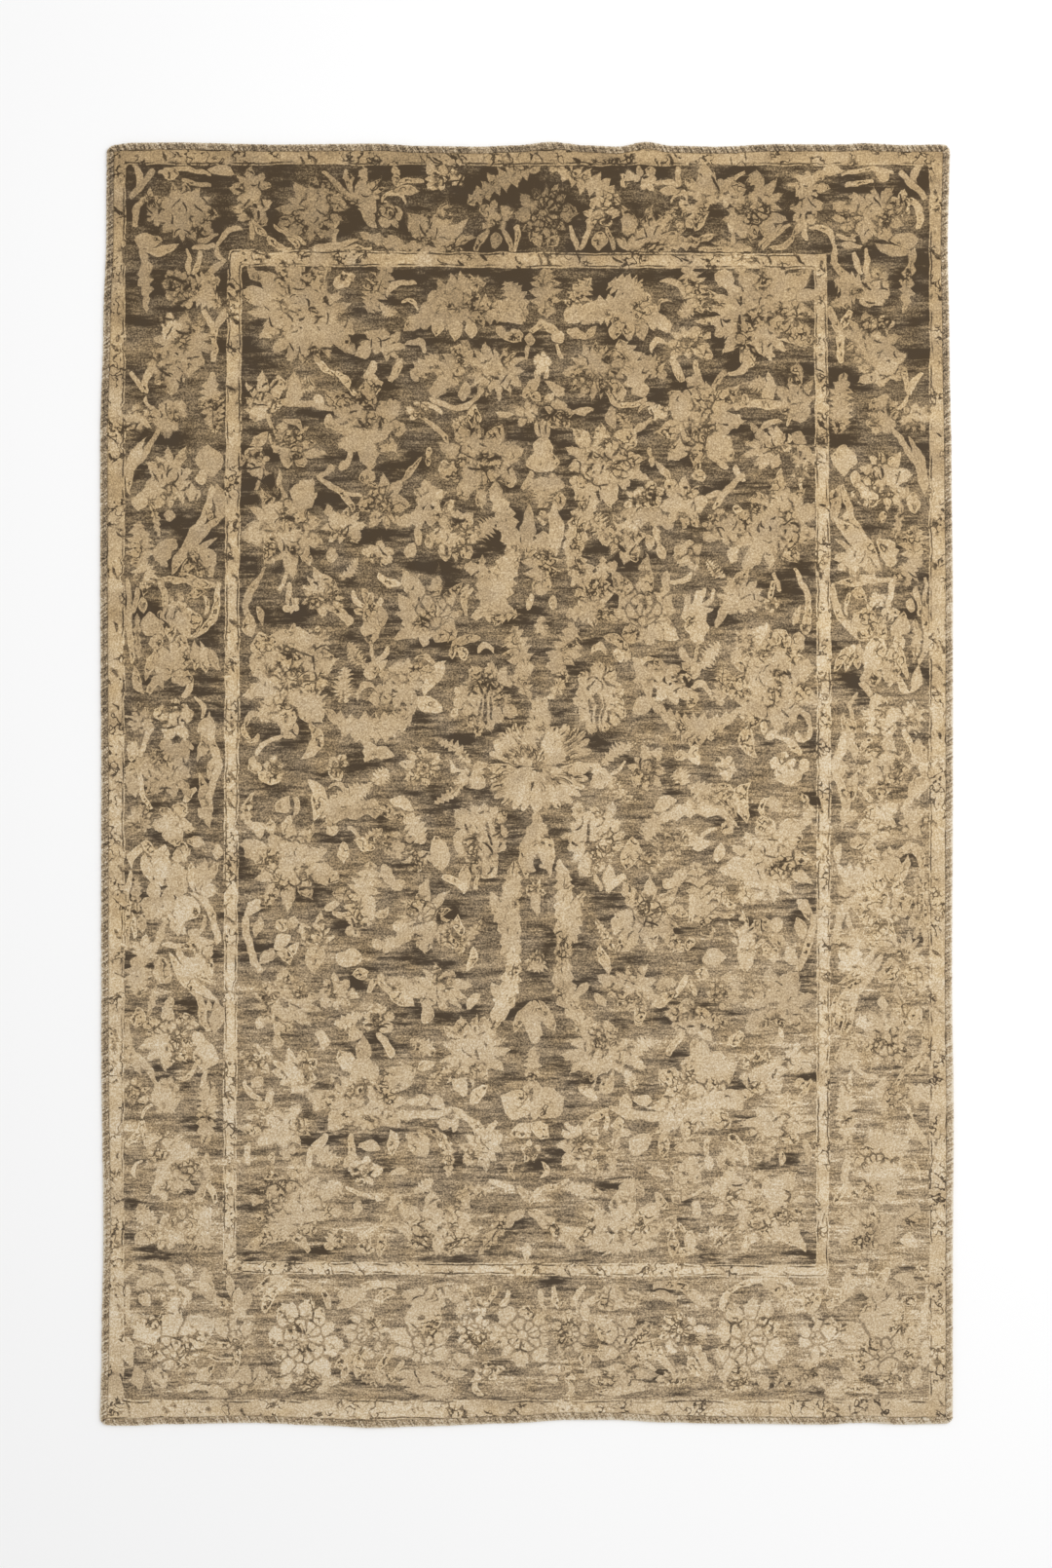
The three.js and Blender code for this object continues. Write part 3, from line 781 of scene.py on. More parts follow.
# Dark strokes and eyes that lie over the flowers, on the left
MARKS = (
    # kind, x, y, tip x, tip y, width, bulge
    ("shade", 537, 714, 538, 736, 8, 0),
    ("stroke", 494, 717, 492, 743, 2, 0),
    ("stroke", 499, 712, 498, 744, 3, 0),
    ("stroke", 505, 716, 504, 742, 2, 0),
    ("stroke", 488, 700, 476, 706, 2, 0),
    ("shade", 518, 702, 523, 713, 5, 0),
    ("shade", 533, 836, 533, 864, 10, 0),
    ("shade", 546, 950, 541, 976, 13, 0),
    ("stroke", 497, 842, 505, 868, 2, 0),
    ("stroke", 493, 866, 506, 877, 2, 2),
    ("shade", 522, 862, 526, 873, 5, 0),
    ("stroke", 364, 949, 364, 959, 3, 0),
    ("stroke", 370, 949, 370, 959, 3, 0),
    ("stroke", 376, 948, 376, 958, 3, 0),
    ("stroke", 402, 862, 406, 862, 2, 0),
    ("stroke", 413, 860, 415, 864, 2, 0),
    ("stroke", 402, 874, 406, 876, 2, 0),
    ("stroke", 412, 876, 416, 873, 2, 0),
    ("stroke", 421, 952, 436, 948, 2, 0),
    ("stroke", 442, 912, 446, 922, 2, 0),
    ("stroke", 404, 918, 418, 920, 2, 0),
    ("stroke", 434, 940, 434, 951, 2, 0),
    ("stroke", 451, 938, 451, 950, 2, 0),
    ("shade", 288, 1028, 296, 1036, 6, 0),
    ("stroke", 282, 1012, 294, 1008, 2, 2),
    ("stroke", 300, 1032, 312, 1036, 2, -2),
    ("stroke", 376, 1104, 374, 1118, 2, 3),
    ("stroke", 372, 1120, 374, 1138, 3, 4),
    ("stroke", 384, 1112, 390, 1122, 2, -2),
    ("stroke", 366, 1132, 368, 1142, 2, 0),
    ("stroke", 470, 1104, 484, 1106, 3, 2),
    ("stroke", 487, 1108, 491, 1116, 2, 0),
    ("stroke", 466, 1096, 472, 1106, 2, 0),
    ("stroke", 282, 1146, 292, 1152, 2, 2),
    ("shade", 266, 1234, 274, 1240, 7, 0),
    ("stroke", 250, 1232, 264, 1236, 2, -3),
    ("stroke", 262, 1222, 272, 1230, 2, 0),
    ("stroke", 304, 1208, 310, 1218, 2, 0),
    ("stroke", 318, 1206, 330, 1204, 2, -2),
    ("stroke", 336, 1252, 350, 1258, 2, 2),
    ("stroke", 320, 1242, 334, 1240, 2, 2),
    ("stroke", 434, 1262, 432, 1274, 2, 0),
    ("stroke", 444, 1262, 442, 1278, 3, 0),
    ("stroke", 458, 1256, 450, 1264, 3, 0),
    ("stroke", 474, 1242, 488, 1246, 3, 2),
    ("stroke", 452, 1232, 452, 1240, 3, 0),
    ("stroke", 460, 1228, 474, 1234, 2, 2),
    ("shade", 378, 1374, 384, 1380, 7, 0),
    ("stroke", 436, 1372, 446, 1356, 2, 2),
    ("stroke", 432, 1372, 420, 1358, 2, -2),
    ("stroke", 428, 1352, 438, 1352, 4, 0),
    ("shade", 246, 1352, 247, 1362, 6, 0),
)

# Motifs on the upright middle line itself
MIDDLE_FLOWERS = (
    # kind, x, y, radius, squash, turn
    ("mum", 559, 220, 25, 1.0, 0),
    ("blossom", 558, 373, 10, 0.95, 0),
    ("blossom", 559, 532, 8, 0.95, 45),
    ("blossom", 556, 646, 9, 1.0, 0),
    ("egg", 554, 739, 17, 0.7, 0),
    ("tulip", 550, 921, 13, 0.7, 180),
    ("mum", 552, 987, 10, 1.0, 0),
    ("blossom", 544, 1182, 9, 1.0, 0),
    ("cell", 537, 1369, 27, 1.0, 0),
)

MIDDLE_LEAVES = (
    # kind, x, y, tip x, tip y, width, bulge
    ("saw", 560, 328, 560, 275, 26, 0),
    ("dot", 557, 450, 557, 474, 16, 0),
    ("dot", 556, 462, 556, 487, 26, 0),
    ("dot", 557, 492, 557, 508, 30, 0),
    ("saw", 558, 524, 557, 500, 17, 0),
    ("leaf", 574, 506, 574, 525, 10, 0),
    ("saw", 557, 612, 557, 545, 34, 0),
    ("leaf", 551, 834, 551, 800, 14, 0),
    ("stroke", 551, 850, 551, 882, 3, 0),
    ("bud", 549, 1072, 549, 1028, 15, 0),
    ("saw", 547, 1118, 548, 1074, 14, 0),
    ("dot", 546, 1110, 545, 1150, 18, 0),
    ("stroke", 545, 1118, 543, 1170, 3, 0),
    ("leaf", 539, 1292, 539, 1274, 8, 0),
)

# The pattern's middle line leans: its place at each height of the chart.
MIDDLE_LINE = (
    # y, x
    (200, 559), (300, 559), (467, 556), (644, 556), (744, 554), (787, 551), (920, 551), (987, 552),
    (1041, 550), (1093, 548), (1180, 544), (1368, 537),
)

# How far the right half is drawn over with the middle line, at each distance from it,
# and the distance at which the lower half no longer leans with it
LEAN_SHARE = ((0, 1), (50, 1.15), (109, 0.8), (165, 0.5), (238, 0.33), (303, 0.1), (320, 0))
LEAN_REACH = 620

# The lower half is drawn a little shorter than the upper, and its border longer.
LOWER_HALF = (
    # knots above the centre, knots below it
    (0, 0), (25, 31), (60, 66), (82, 82), (97, 98), (153, 150), (176, 170), (245, 232), (314, 298),
    (356, 334), (384, 366), (407, 391), (468, 445), (509, 506), (532, 525), (572, 583), (616, 649),
    (640, 675),
)

# The motifs are this much larger on the rug than their sizes in the tables.
FLOWER_GROWTH = 1.32
LEAF_GROWTH = 1.34
# How many flowers, leaves and marks may lie over one another on a face
FLOWER_SLOTS = 2
LEAF_SLOTS = 6
MARK_SLOTS = 2
# How far outside its outline a motif still counts, because wear moves the outline
FLOWER_REACH = 1.02
FLOWER_MARGIN = 15 * MM
LEAF_MARGIN = 14 * MM
# The place that a face without a motif gets, well outside any
FAR_AWAY = 40.0
# The yarn's tone differs from motif to motif, and each flower has petals of its own.
FLOWER_TINTS = (0.85, 1.15)
LEAF_TINTS = (0.85, 1.12)
FLOWER_SEEDS = (1, 90)
# The starts of the random numbers for the flowers, the leaves and strokes, and the
# edging, so that every run gives the same rug
FLOWER_SEED = 11
LEAF_SEED = 12
EDGING_SEED = 13

# Small leaves and stems that grow from the others into what ground is left, more of
# them lower down: how many of each are tried, their lengths, widths and most bulge
FILLERS = (
    # kind, tries, least length, most, least width, most, bulge
    ("saw", 300, 20, 36, 13, 18, 5),
    ("bud", 110, 15, 26, 9, 13, 2),
    ("leaf", 340, 16, 30, 7, 12, 4),
    ("stem", 260, 16, 38, 3, 5, 7),
)
# A filler's foot, this share of it, may lie on another motif. The rest keeps a gap
# round it, and points outward give or take this angle.
FILLER_ROOT = 0.3
FILLER_GAP = 1.2
FILLER_SPREAD = 0.7
# It stays clear of the middle line and inside the border. The ground is searched to a
# little past the middle, since a leaf is broader than its two ends.
FILLER_FREE = 58
PAST_MIDDLE = 20
BORDER_LEFT = 112
BORDER_TOP = 157
BORDER_BOTTOM = 1449
# How much of a flower's circle counts as taken, and how far from the guard bands'
# edges the ground is free, in mm
FLOWER_CORE = 0.8
OUTER_GUARD_CLEAR = (6, 5)
INNER_GUARD_CLEAR = (-4, 5)
# The taken ground is blurred so often, in knots, to find which way is outward, and
# is a rim where it then counts less than this share.
BLURS = 8
RIM_SHARE = 0.6
# How finely a leaf is covered with points, in knots, and how far it narrows to its ends
POINT_STEP = 1.5
LEAF_NARROWING = 0.8

# Short dark arcs that are left of the drawing inside a flower: how many for each
# knot of its radius, how far out they lie, how long and wide they are, how far they
# turn from the flower's round, and how much they bend
ARCS = 0.4
ARC_OUT = (0.15, 0.85)
ARC_LENGTH = (6, 14)
ARC_WIDTH = (1.1, 1.8)
ARC_SCATTER = 0.7
ARC_BEND = 0.4

# The guard bands are crossed by short dark strokes that slant: where each band's
# middle runs, and how many strokes are on it
GUARD_STROKES = (
    # x, y, end x, end y, strokes
    (121, 165, 121, 1440, 30),
    (242, 262, 236, 1300, 26),
    (842, 262, 844, 1300, 24),
    (961, 165, 961, 1440, 30),
    (125, 163, 960, 164, 22),
    (245, 266, 840, 269, 18),
    (240, 1301, 840, 1304, 16),
    (125, 1444, 960, 1444, 22),
)
STROKE_SLANT = 0.95
STROKE_SCATTER = 0.35
STROKE_ASIDE = 4
STROKE_BEND = 0.3

# Where the edges of the two guard bands cross the chart: each side's own place
# along it, then the outer band's two edges and the inner band's.
GUARD_EDGES = {
    "left": ((150, 108, 130, 237, 250), (420, 108, 129, 232, 248), (1460, 108, 128, 229, 242)),
    "right": ((150, 973, 953, 847, 834), (700, 973, 953, 853, 838), (1460, 973, 953, 850, 837)),
    "top": ((110, 153, 170, 256, 273), (540, 153, 171, 260, 276), (970, 153, 171, 262, 278)),
    "bottom": (
        (110, 1457, 1436, 1306, 1293), (540, 1457, 1436, 1309, 1296), (970, 1457, 1436, 1312, 1298),
    ),
}

# How far the rug has faded, from its top to its bottom on the chart, in three columns
FADED = (
    # y, on the left, in the middle, on the right
    (220, -0.4, -0.5, 0.0),
    (350, 0.05, 0.0, 0.0),
    (480, 0.05, 0.0, 0.25),
    (610, 0.1, 0.2, 0.4),
    (740, 0.3, 0.4, 0.7),
    (870, 0.5, 0.45, 0.9),
    (1000, 0.7, 0.4, 1.0),
    (1130, 0.8, 0.6, 1.15),
    (1260, 0.95, 0.85, 1.2),
    (1390, 0.85, 0.9, 1.1),
)
FADED_COLUMNS = (200, 540, 880)

# The least that the edging has faded
EDGING_FADED = 0.2

# Each strip of edging: half the length that it runs, how far out its inner edge is,
# and which way it faces, in quarter turns clockwise from the top
EDGINGS = {
    "top": (RUG_WIDTH / 2, RUG_LENGTH / 2 - EDGING_WIDTH, 0),
    "right": (RUG_LENGTH / 2, RUG_WIDTH / 2 - EDGING_WIDTH, 1),
    "bottom": (RUG_WIDTH / 2, RUG_LENGTH / 2 - EDGING_WIDTH, 2),
    "left": (RUG_LENGTH / 2, RUG_WIDTH / 2 - EDGING_WIDTH, 3),
}


def edge_out(table, along):
    """How far an edge lies out, in metres, eased between the table's rows."""
    places = np.array([row[0] for row in table])
    outs = np.array([row[1] for row in table]) * MM
    row = np.clip(np.searchsorted(places, along) - 1, 0, len(places) - 2)
    share = (along - places[row]) / (places[row + 1] - places[row])
    eased = share * share * (3 - 2 * share)
    return outs[row] + (outs[row + 1] - outs[row]) * eased


def uneven(x, y):
    """Moves places of the plain rectangle to where they are in the uneven rug."""
    across = np.clip(x / RUG_WIDTH + 0.5, 0, 1)
    along = np.clip(y / RUG_LENGTH + 0.5, 0, 1)
    left = -edge_out(LEFT_EDGE, along) * (1 - across)
    right = edge_out(RIGHT_EDGE, along) * across
    bottom = -edge_out(BOTTOM_EDGE, across) * (1 - along)
    top = edge_out(TOP_EDGE, across) * along
    return x + left + right, y + bottom + top


def rug_middle():
    """The middle of the uneven rug's box, which the frame has as its origin."""
    steps = np.linspace(-0.5, 0.5, 401)
    half_width = np.full_like(steps, RUG_WIDTH / 2)
    half_length = np.full_like(steps, RUG_LENGTH / 2)
    top_y = uneven(steps * RUG_WIDTH, half_length)[1].max()
    bottom_y = uneven(steps * RUG_WIDTH, -half_length)[1].min()
    right_x = uneven(half_width, steps * RUG_LENGTH)[0].max()
    left_x = uneven(-half_width, steps * RUG_LENGTH)[0].min()
    return (left_x + right_x) / 2, (bottom_y + top_y) / 2


MIDDLE_X, MIDDLE_Y = rug_middle()


def place_on_rug(x, y):
    """The same, from the rug's own origin."""
    moved_x, moved_y = uneven(x, y)
    return moved_x - MIDDLE_X, moved_y - MIDDLE_Y


def pile_top(x, y):
    """How high the pile stands, a little uneven as wool is that has been walked on."""
    slow = np.sin(x / SLOW_WAVE[0] + WAVE_START) * np.cos(y / SLOW_WAVE[1])
    quick = np.sin(x / QUICK_WAVE[0] + y / QUICK_WAVE[1])
    return PILE_HEIGHT + PILE_WAVE * (SLOW_SHARE * slow + (1 - SLOW_SHARE) * quick)


def add_object(name, data):
    """Puts a mesh, a camera or a light into the scene."""
    made = bpy.data.objects.new(name, data)
    bpy.context.scene.collection.objects.link(made)
    return made


def finished_mesh(bm, name):
    """Turns what has been modelled into a mesh."""
    mesh = bpy.data.meshes.new(name)
    bm.to_mesh(mesh)
    bm.free()
    return mesh


def read(items, name, size, kind=float):
    """A value of each vertex, corner or face of a mesh, one row for each."""
    values = np.empty(len(items) * size, dtype=kind)
    items.foreach_get(name, values)
    return values.reshape(-1, size)


def linear(hex_colour):
    """An sRGB hex colour as linear red, green, blue and alpha."""
    parts = [int(hex_colour[i:i + 2], 16) / 255 for i in (0, 2, 4)]
    return tuple(p / 12.92 if p <= 0.04045 else ((p + 0.055) / 1.055) ** 2.4 for p in parts) + (1,)


def add_node(tree, kind, settings=None, inputs=None):
    """Adds one node with its settings, and links or sets its inputs."""
    node = tree.nodes.new(kind)
    for name, value in (settings or {}).items():
        setattr(node, name, value)
    for name, value in (inputs or {}).items():
        if isinstance(value, bpy.types.NodeSocket):
            tree.links.new(value, node.inputs[name])
        else:
            node.inputs[name].default_value = value
    return node


def add_steps(tree, known, steps):
    """Adds a chain of Math nodes: each step names its result, its operation and its
    inputs, which are earlier results or numbers."""
    for result, operation, *inputs in steps:
        clamped = operation.endswith(" clamped")
        settings = {"operation": operation.replace(" clamped", ""), "use_clamp": clamped}
        values = [known[value] if isinstance(value, str) else value for value in inputs]
        node = add_node(tree, "ShaderNodeMath", settings, dict(enumerate(values)))
        known[result] = node.outputs[0]


def new_group(name, inputs, outputs):
    """An empty node group with number sockets, and its two ends."""
    tree = bpy.data.node_groups.new(name, "ShaderNodeTree")
    for socket in inputs:
        tree.interface.new_socket(socket, in_out="INPUT", socket_type="NodeSocketFloat")
    for socket in outputs:
        tree.interface.new_socket(socket, in_out="OUTPUT", socket_type="NodeSocketFloat")
    start = add_node(tree, "NodeGroupInput")
    end = add_node(tree, "NodeGroupOutput")
    known = {socket: start.outputs[socket] for socket in inputs}
    return tree, known, end


# How fast a thin dark line fades for each mm from its middle, and how dark it starts
LINE_FADE = -0.45
LINE_START = 1.6

# The drawing of one flower. Its places run from -1 to 1 over its size, which is in mm,
# and give the depth inside its outline in mm, and its dark lines.
FLOWER_INPUTS = (
    "u", "v", "seed", "petals", "heart", "cut", "point", "ring", "lines", "size",
    "jitter x", "jitter y", "drawn",
)
FLOWER_STEPS = (
    ("unit", "DIVIDE", 1.0, "size"),
    ("x", "MULTIPLY_ADD", "jitter x", "unit", "u"),
    ("y", "MULTIPLY_ADD", "jitter y", "unit", "v"),
    ("up", "ADD", "y", "heart"),
    ("xx", "MULTIPLY", "x", "x"),
    ("square", "MULTIPLY_ADD", "up", "up", "xx"),
    ("radius", "SQRT", "square"),
    ("angle", "ARCTAN2", "x", "up"),
    # The envelope is a circle seen from the flower's heart.
    ("cosine", "COSINE", "angle"),
    ("sine", "SINE", "angle"),
    ("heart sine", "MULTIPLY", "heart", "sine"),
    ("heart square", "MULTIPLY", "heart sine", "heart sine"),
    ("rest", "SUBTRACT", 1.0, "heart square"),
    ("root", "SQRT", "rest"),
    ("envelope", "MULTIPLY_ADD", "heart", "cosine", "root"),
    # Petals, each a little longer or shorter than the next
    ("twice", "MULTIPLY_ADD", "angle", 2.0, "seed"),
    ("swing", "SINE", "twice"),
    ("bent angle", "MULTIPLY_ADD", "swing", 0.16, "angle"),
    ("turns", "MULTIPLY", "bent angle", 1 / (2 * math.pi)),
    ("phase", "MULTIPLY_ADD", "turns", "petals", 0.5),
    ("wrapped", "FLOORED_MODULO", "phase", "petals"),
    ("number", "FLOOR", "wrapped"),
    ("within", "FRACT", "wrapped"),
    ("offset", "SUBTRACT", "within", 0.5),
    ("aside", "ABSOLUTE", "offset"),
    ("inner", "MULTIPLY_ADD", "aside", -2.0, 1.0),
    ("lobe", "POWER", "inner", "point"),
    ("draw", "MULTIPLY_ADD", "seed", 7.13, "number"),
)
FLOWER_SHAPE_STEPS = (
    ("length", "MULTIPLY_ADD", "chance", -0.32, 1.06),
    ("dip", "SUBTRACT", 1.0, "lobe"),
    ("cut away", "MULTIPLY", "dip", "cut"),
    ("teeth", "MULTIPLY", "within", 4.0),
    ("tooth", "FRACT", "teeth"),
    ("notched", "MULTIPLY_ADD", "tooth", 0.06, "cut away"),
    ("kept", "SUBTRACT", 1.0, "notched"),
    ("whole", "MULTIPLY", "envelope", "kept"),
    ("reach", "MULTIPLY", "whole", "length"),
    ("spare", "SUBTRACT", "reach", "radius"),
    ("depth", "MULTIPLY", "spare", "size"),
    # Lines between the petals, past the inner flower
    ("seam share", "MULTIPLY", "inner", "radius"),
    ("seam size", "MULTIPLY", "seam share", "size"),
    ("seam", "DIVIDE", "seam size", "petals"),
    ("seam line", "MULTIPLY_ADD clamped", "seam", LINE_FADE * math.pi, LINE_START),
    ("ring lobe", "POWER", "aside", 0.4),
    ("ring shape", "MULTIPLY_ADD", "ring lobe", 0.2, 0.85),
    ("ring size", "MULTIPLY", "ring shape", "ring"),
    ("ring reach", "MULTIPLY", "ring size", "envelope"),
    ("past ring", "SUBTRACT", "radius", "ring reach"),
    ("ring depth", "MULTIPLY", "past ring", "size"),
    ("outside ring", "MULTIPLY clamped", "ring depth", 0.5),
    ("outer seams", "MULTIPLY", "seam line", "outside ring"),
    ("inner share", "MULTIPLY", "aside", "radius"),
    ("inner size", "MULTIPLY", "inner share", "size"),
    ("inner seam", "DIVIDE", "inner size", "petals"),
    ("inner line", "MULTIPLY_ADD clamped", "inner seam", LINE_FADE * 2 * math.pi, LINE_START),
    ("inside ring", "MULTIPLY clamped", "ring depth", -0.5),
    ("inner room", "MULTIPLY", "radius", "size"),
    ("off the eye", "MULTIPLY_ADD clamped", "inner room", 0.12, -0.9),
    ("inner drawn", "MULTIPLY", "inner line", "off the eye"),
    ("inner seams", "MULTIPLY", "inner drawn", "inside ring"),
    ("seams", "MAXIMUM", "outer seams", "inner seams"),
    ("ring gap", "ABSOLUTE", "ring depth"),
    ("ring line", "MULTIPLY_ADD clamped", "ring gap", LINE_FADE, LINE_START),
    # Its eye, and short hatching where the petals end
    ("eye place", "MULTIPLY_ADD", "ring", -0.32, "radius"),
    ("eye depth", "MULTIPLY", "eye place", "size"),
    ("eye gap", "ABSOLUTE", "eye depth"),
    ("eye line", "MULTIPLY_ADD clamped", "eye gap", LINE_FADE, 1.1),
    ("hatch", "PINGPONG", "teeth", 0.5),
    ("hatch line", "MULTIPLY_ADD clamped", "hatch", -6.0, 1.4),
    ("hatch end", "MULTIPLY_ADD clamped", "length", -9.0, 8.1),
    ("hatch reach", "MULTIPLY_ADD clamped", "depth", -0.12, 1.5),
    ("hatched 1", "MULTIPLY", "hatch line", "hatch end"),
    ("hatched", "MULTIPLY", "hatched 1", "hatch reach"),
    ("line 1", "MAXIMUM", "ring line", "eye line"),
    ("line 2", "MAXIMUM", "seams", "line 1"),
    ("line 3", "MAXIMUM", "hatched", "line 2"),
    ("line 4", "MULTIPLY", "line 3", "lines"),
    ("always drawn", "MULTIPLY_ADD clamped", "lines", 10.0, -9.5),
    ("all drawn", "MAXIMUM", "drawn", "always drawn"),
    ("line", "MULTIPLY clamped", "line 4", "all drawn"),
)

# The same for a leaf, a stem or a stroke, along x from its foot to its tip
LEAF_INPUTS = (
    "u", "v", "width", "bulge", "taper", "teeth", "tooth", "rib", "size",
    "jitter x", "jitter y", "drawn",
)
LEAF_STEPS = (
    ("unit", "DIVIDE", 1.0, "size"),
    ("x", "MULTIPLY_ADD", "jitter x", "unit", "u"),
    ("y", "MULTIPLY_ADD", "jitter y", "unit", "v"),
    ("xx", "MULTIPLY", "x", "x"),
    ("rest", "SUBTRACT", 1.0, "xx"),
    ("inside", "MAXIMUM", "rest", 0.0),
    ("arc", "MULTIPLY", "bulge", "inside"),
    ("offset", "SUBTRACT", "y", "arc"),
    ("aside", "ABSOLUTE", "offset"),
    ("profile", "POWER", "inside", "taper"),
    ("half width", "MULTIPLY", "profile", "width"),
    # Teeth that lean towards the tip
    ("lean", "DIVIDE", "aside", "width"),
    ("along", "MULTIPLY_ADD", "x", 0.5, 0.5),
    ("count", "MULTIPLY", "along", "teeth"),
    ("leaning", "MULTIPLY_ADD", "lean", -1.2, "count"),
    ("saw", "FRACT", "leaning"),
    ("bite", "MULTIPLY", "saw", "tooth"),
    ("kept", "SUBTRACT", 1.0, "bite"),
    ("reach", "MULTIPLY", "half width", "kept"),
    ("spare", "SUBTRACT", "reach", "aside"),
    ("side depth", "MULTIPLY", "spare", "size"),
    ("far", "ABSOLUTE", "x"),
    ("end share", "SUBTRACT", 1.0, "far"),
    ("end depth", "MULTIPLY", "end share", "size"),
    ("depth", "MINIMUM", "side depth", "end depth"),
    ("rib gap", "MULTIPLY", "aside", "size"),
    ("rib line", "MULTIPLY_ADD clamped", "rib gap", LINE_FADE, 1.0),
    ("vein", "MULTIPLY_ADD clamped", "saw", -7.0, 1.0),
    ("vein cut", "MULTIPLY", "vein", "tooth"),
    ("vein line", "MULTIPLY clamped", "vein cut", 2.0),
    ("line 1", "MAXIMUM", "rib line", "vein line"),
    ("hatching", "MULTIPLY_ADD clamped", "rib", 1.0, -1.0),
    ("hatch place", "MULTIPLY", "offset", "size"),
    ("hatch", "PINGPONG", "hatch place", 4.5),
    ("hatch line", "MULTIPLY_ADD clamped", "hatch", LINE_FADE, 1.2),
    ("hatched", "MULTIPLY", "hatch line", "hatching"),
    ("ribbed", "MULTIPLY", "line 1", "rib"),
    ("line 2", "MAXIMUM", "ribbed", "hatched"),
    ("line", "MULTIPLY clamped", "line 2", "drawn"),
)


def flower_group():
    """The node group that draws a flower."""
    tree, known, end = new_group("flower", FLOWER_INPUTS, ("depth", "line"))
    add_steps(tree, known, FLOWER_STEPS)
    chance = add_node(tree, "ShaderNodeTexWhiteNoise", {"noise_dimensions": "1D"}, {"W": known["draw"]})
    known["chance"] = chance.outputs["Value"]
    add_steps(tree, known, FLOWER_SHAPE_STEPS)
    for name in ("depth", "line"):
        tree.links.new(known[name], end.inputs[name])
    return tree


def leaf_group():
    """The node group that draws a leaf."""
    tree, known, end = new_group("leaf", LEAF_INPUTS, ("depth", "line"))
    add_steps(tree, known, LEAF_STEPS)
    for name in ("depth", "line"):
        tree.links.new(known[name], end.inputs[name])
    return tree


def chart_place(x, y):
    """A place on the chart, in metres on the rug."""
    return (x - RUG_MIDDLE[0]) * KNOT, (RUG_MIDDLE[1] - y) * KNOT


def knots(places):
    """Where places on the rug are on the chart."""
    return places[..., 0] / KNOT + RUG_MIDDLE[0], RUG_MIDDLE[1] - places[..., 1] / KNOT


def table_value(table, place):
    """The value at a place between a table's rows."""
    return np.interp(place, [row[0] for row in table], [row[1] for row in table])


def right_place(x, y):
    """The place that mirrors one on the left, across the middle line."""
    line = table_value(MIDDLE_LINE, y)
    lean = (2 * line - 2 * RUG_MIDDLE[0]) * table_value(LEAN_SHARE, line - x)
    return 2 * RUG_MIDDLE[0] - x + lean, y


def lower_place(x, y):
    """The place that mirrors one in the upper half."""
    low_y = CENTRE_Y + table_value(LOWER_HALF, CENTRE_Y - y)
    line = table_value(MIDDLE_LINE, y)
    low_line = table_value(MIDDLE_LINE, low_y)
    return x + (low_line - line) * (1 - abs(line - x) / LEAN_REACH), low_y


def quarter_places(x, y):
    """A place's four mirrored ones, with signs that tell how each is mirrored."""
    low = lower_place(x, y)
    return ((x, y, 1, 1), (*right_place(x, y), -1, 1), (*low, 1, -1), (*right_place(*low), -1, -1))


def all_flowers():
    """Every flower as (kind, x, y, radius, squash, turn)."""
    flowers = list(MIDDLE_FLOWERS)
    for rows, copies in ((SIDE_FLOWERS, 2), (QUARTER_FLOWERS, 4)):
        for kind, x, y, radius, squash, turn in rows:
            for place_x, place_y, side, way in quarter_places(x, y)[:copies]:
                angle = turn * side if way > 0 else 180 - turn * side
                flowers.append((kind, place_x, place_y, radius, squash, angle))
    return flowers


def mirrored_leaves(rows, copies):
    """Leaves and stems with their mirrored ones: (kind, x, y, tip x, tip y, width, bulge)."""
    leaves = []
    for kind, x, y, tip_x, tip_y, width, bulge in rows:
        starts = quarter_places(x, y)[:copies]
        tips = quarter_places(tip_x, tip_y)[:copies]
        for (ax, ay, side, way), (bx, by, _, _) in zip(starts, tips):
            leaves.append((kind, ax, ay, bx, by, width, bulge * side * way))
    return leaves


def leaf_points(row, widen):
    """Points over a leaf on the chart, from its foot to its tip and across it."""
    _, x, y, tip_x, tip_y, width, bulge = row
    length = math.hypot(tip_x - x, tip_y - y)
    steps = np.linspace(0, 1, max(3, int(length / POINT_STEP)))
    across = np.linspace(-1, 1, max(3, int(width / POINT_STEP)))
    along_x, along_y = (tip_x - x) / length, (tip_y - y) / length
    arc = bulge * (1 - (2 * steps - 1) ** 2)
    half = (width / 2) * (1 - LEAF_NARROWING * (2 * steps - 1) ** 2) + widen
    offset = arc[:, None] + half[:, None] * across[None, :]
    grid_x = x + along_x * length * steps[:, None] + along_y * offset
    grid_y = y + along_y * length * steps[:, None] - along_x * offset
    return grid_x.ravel(), grid_y.ravel()


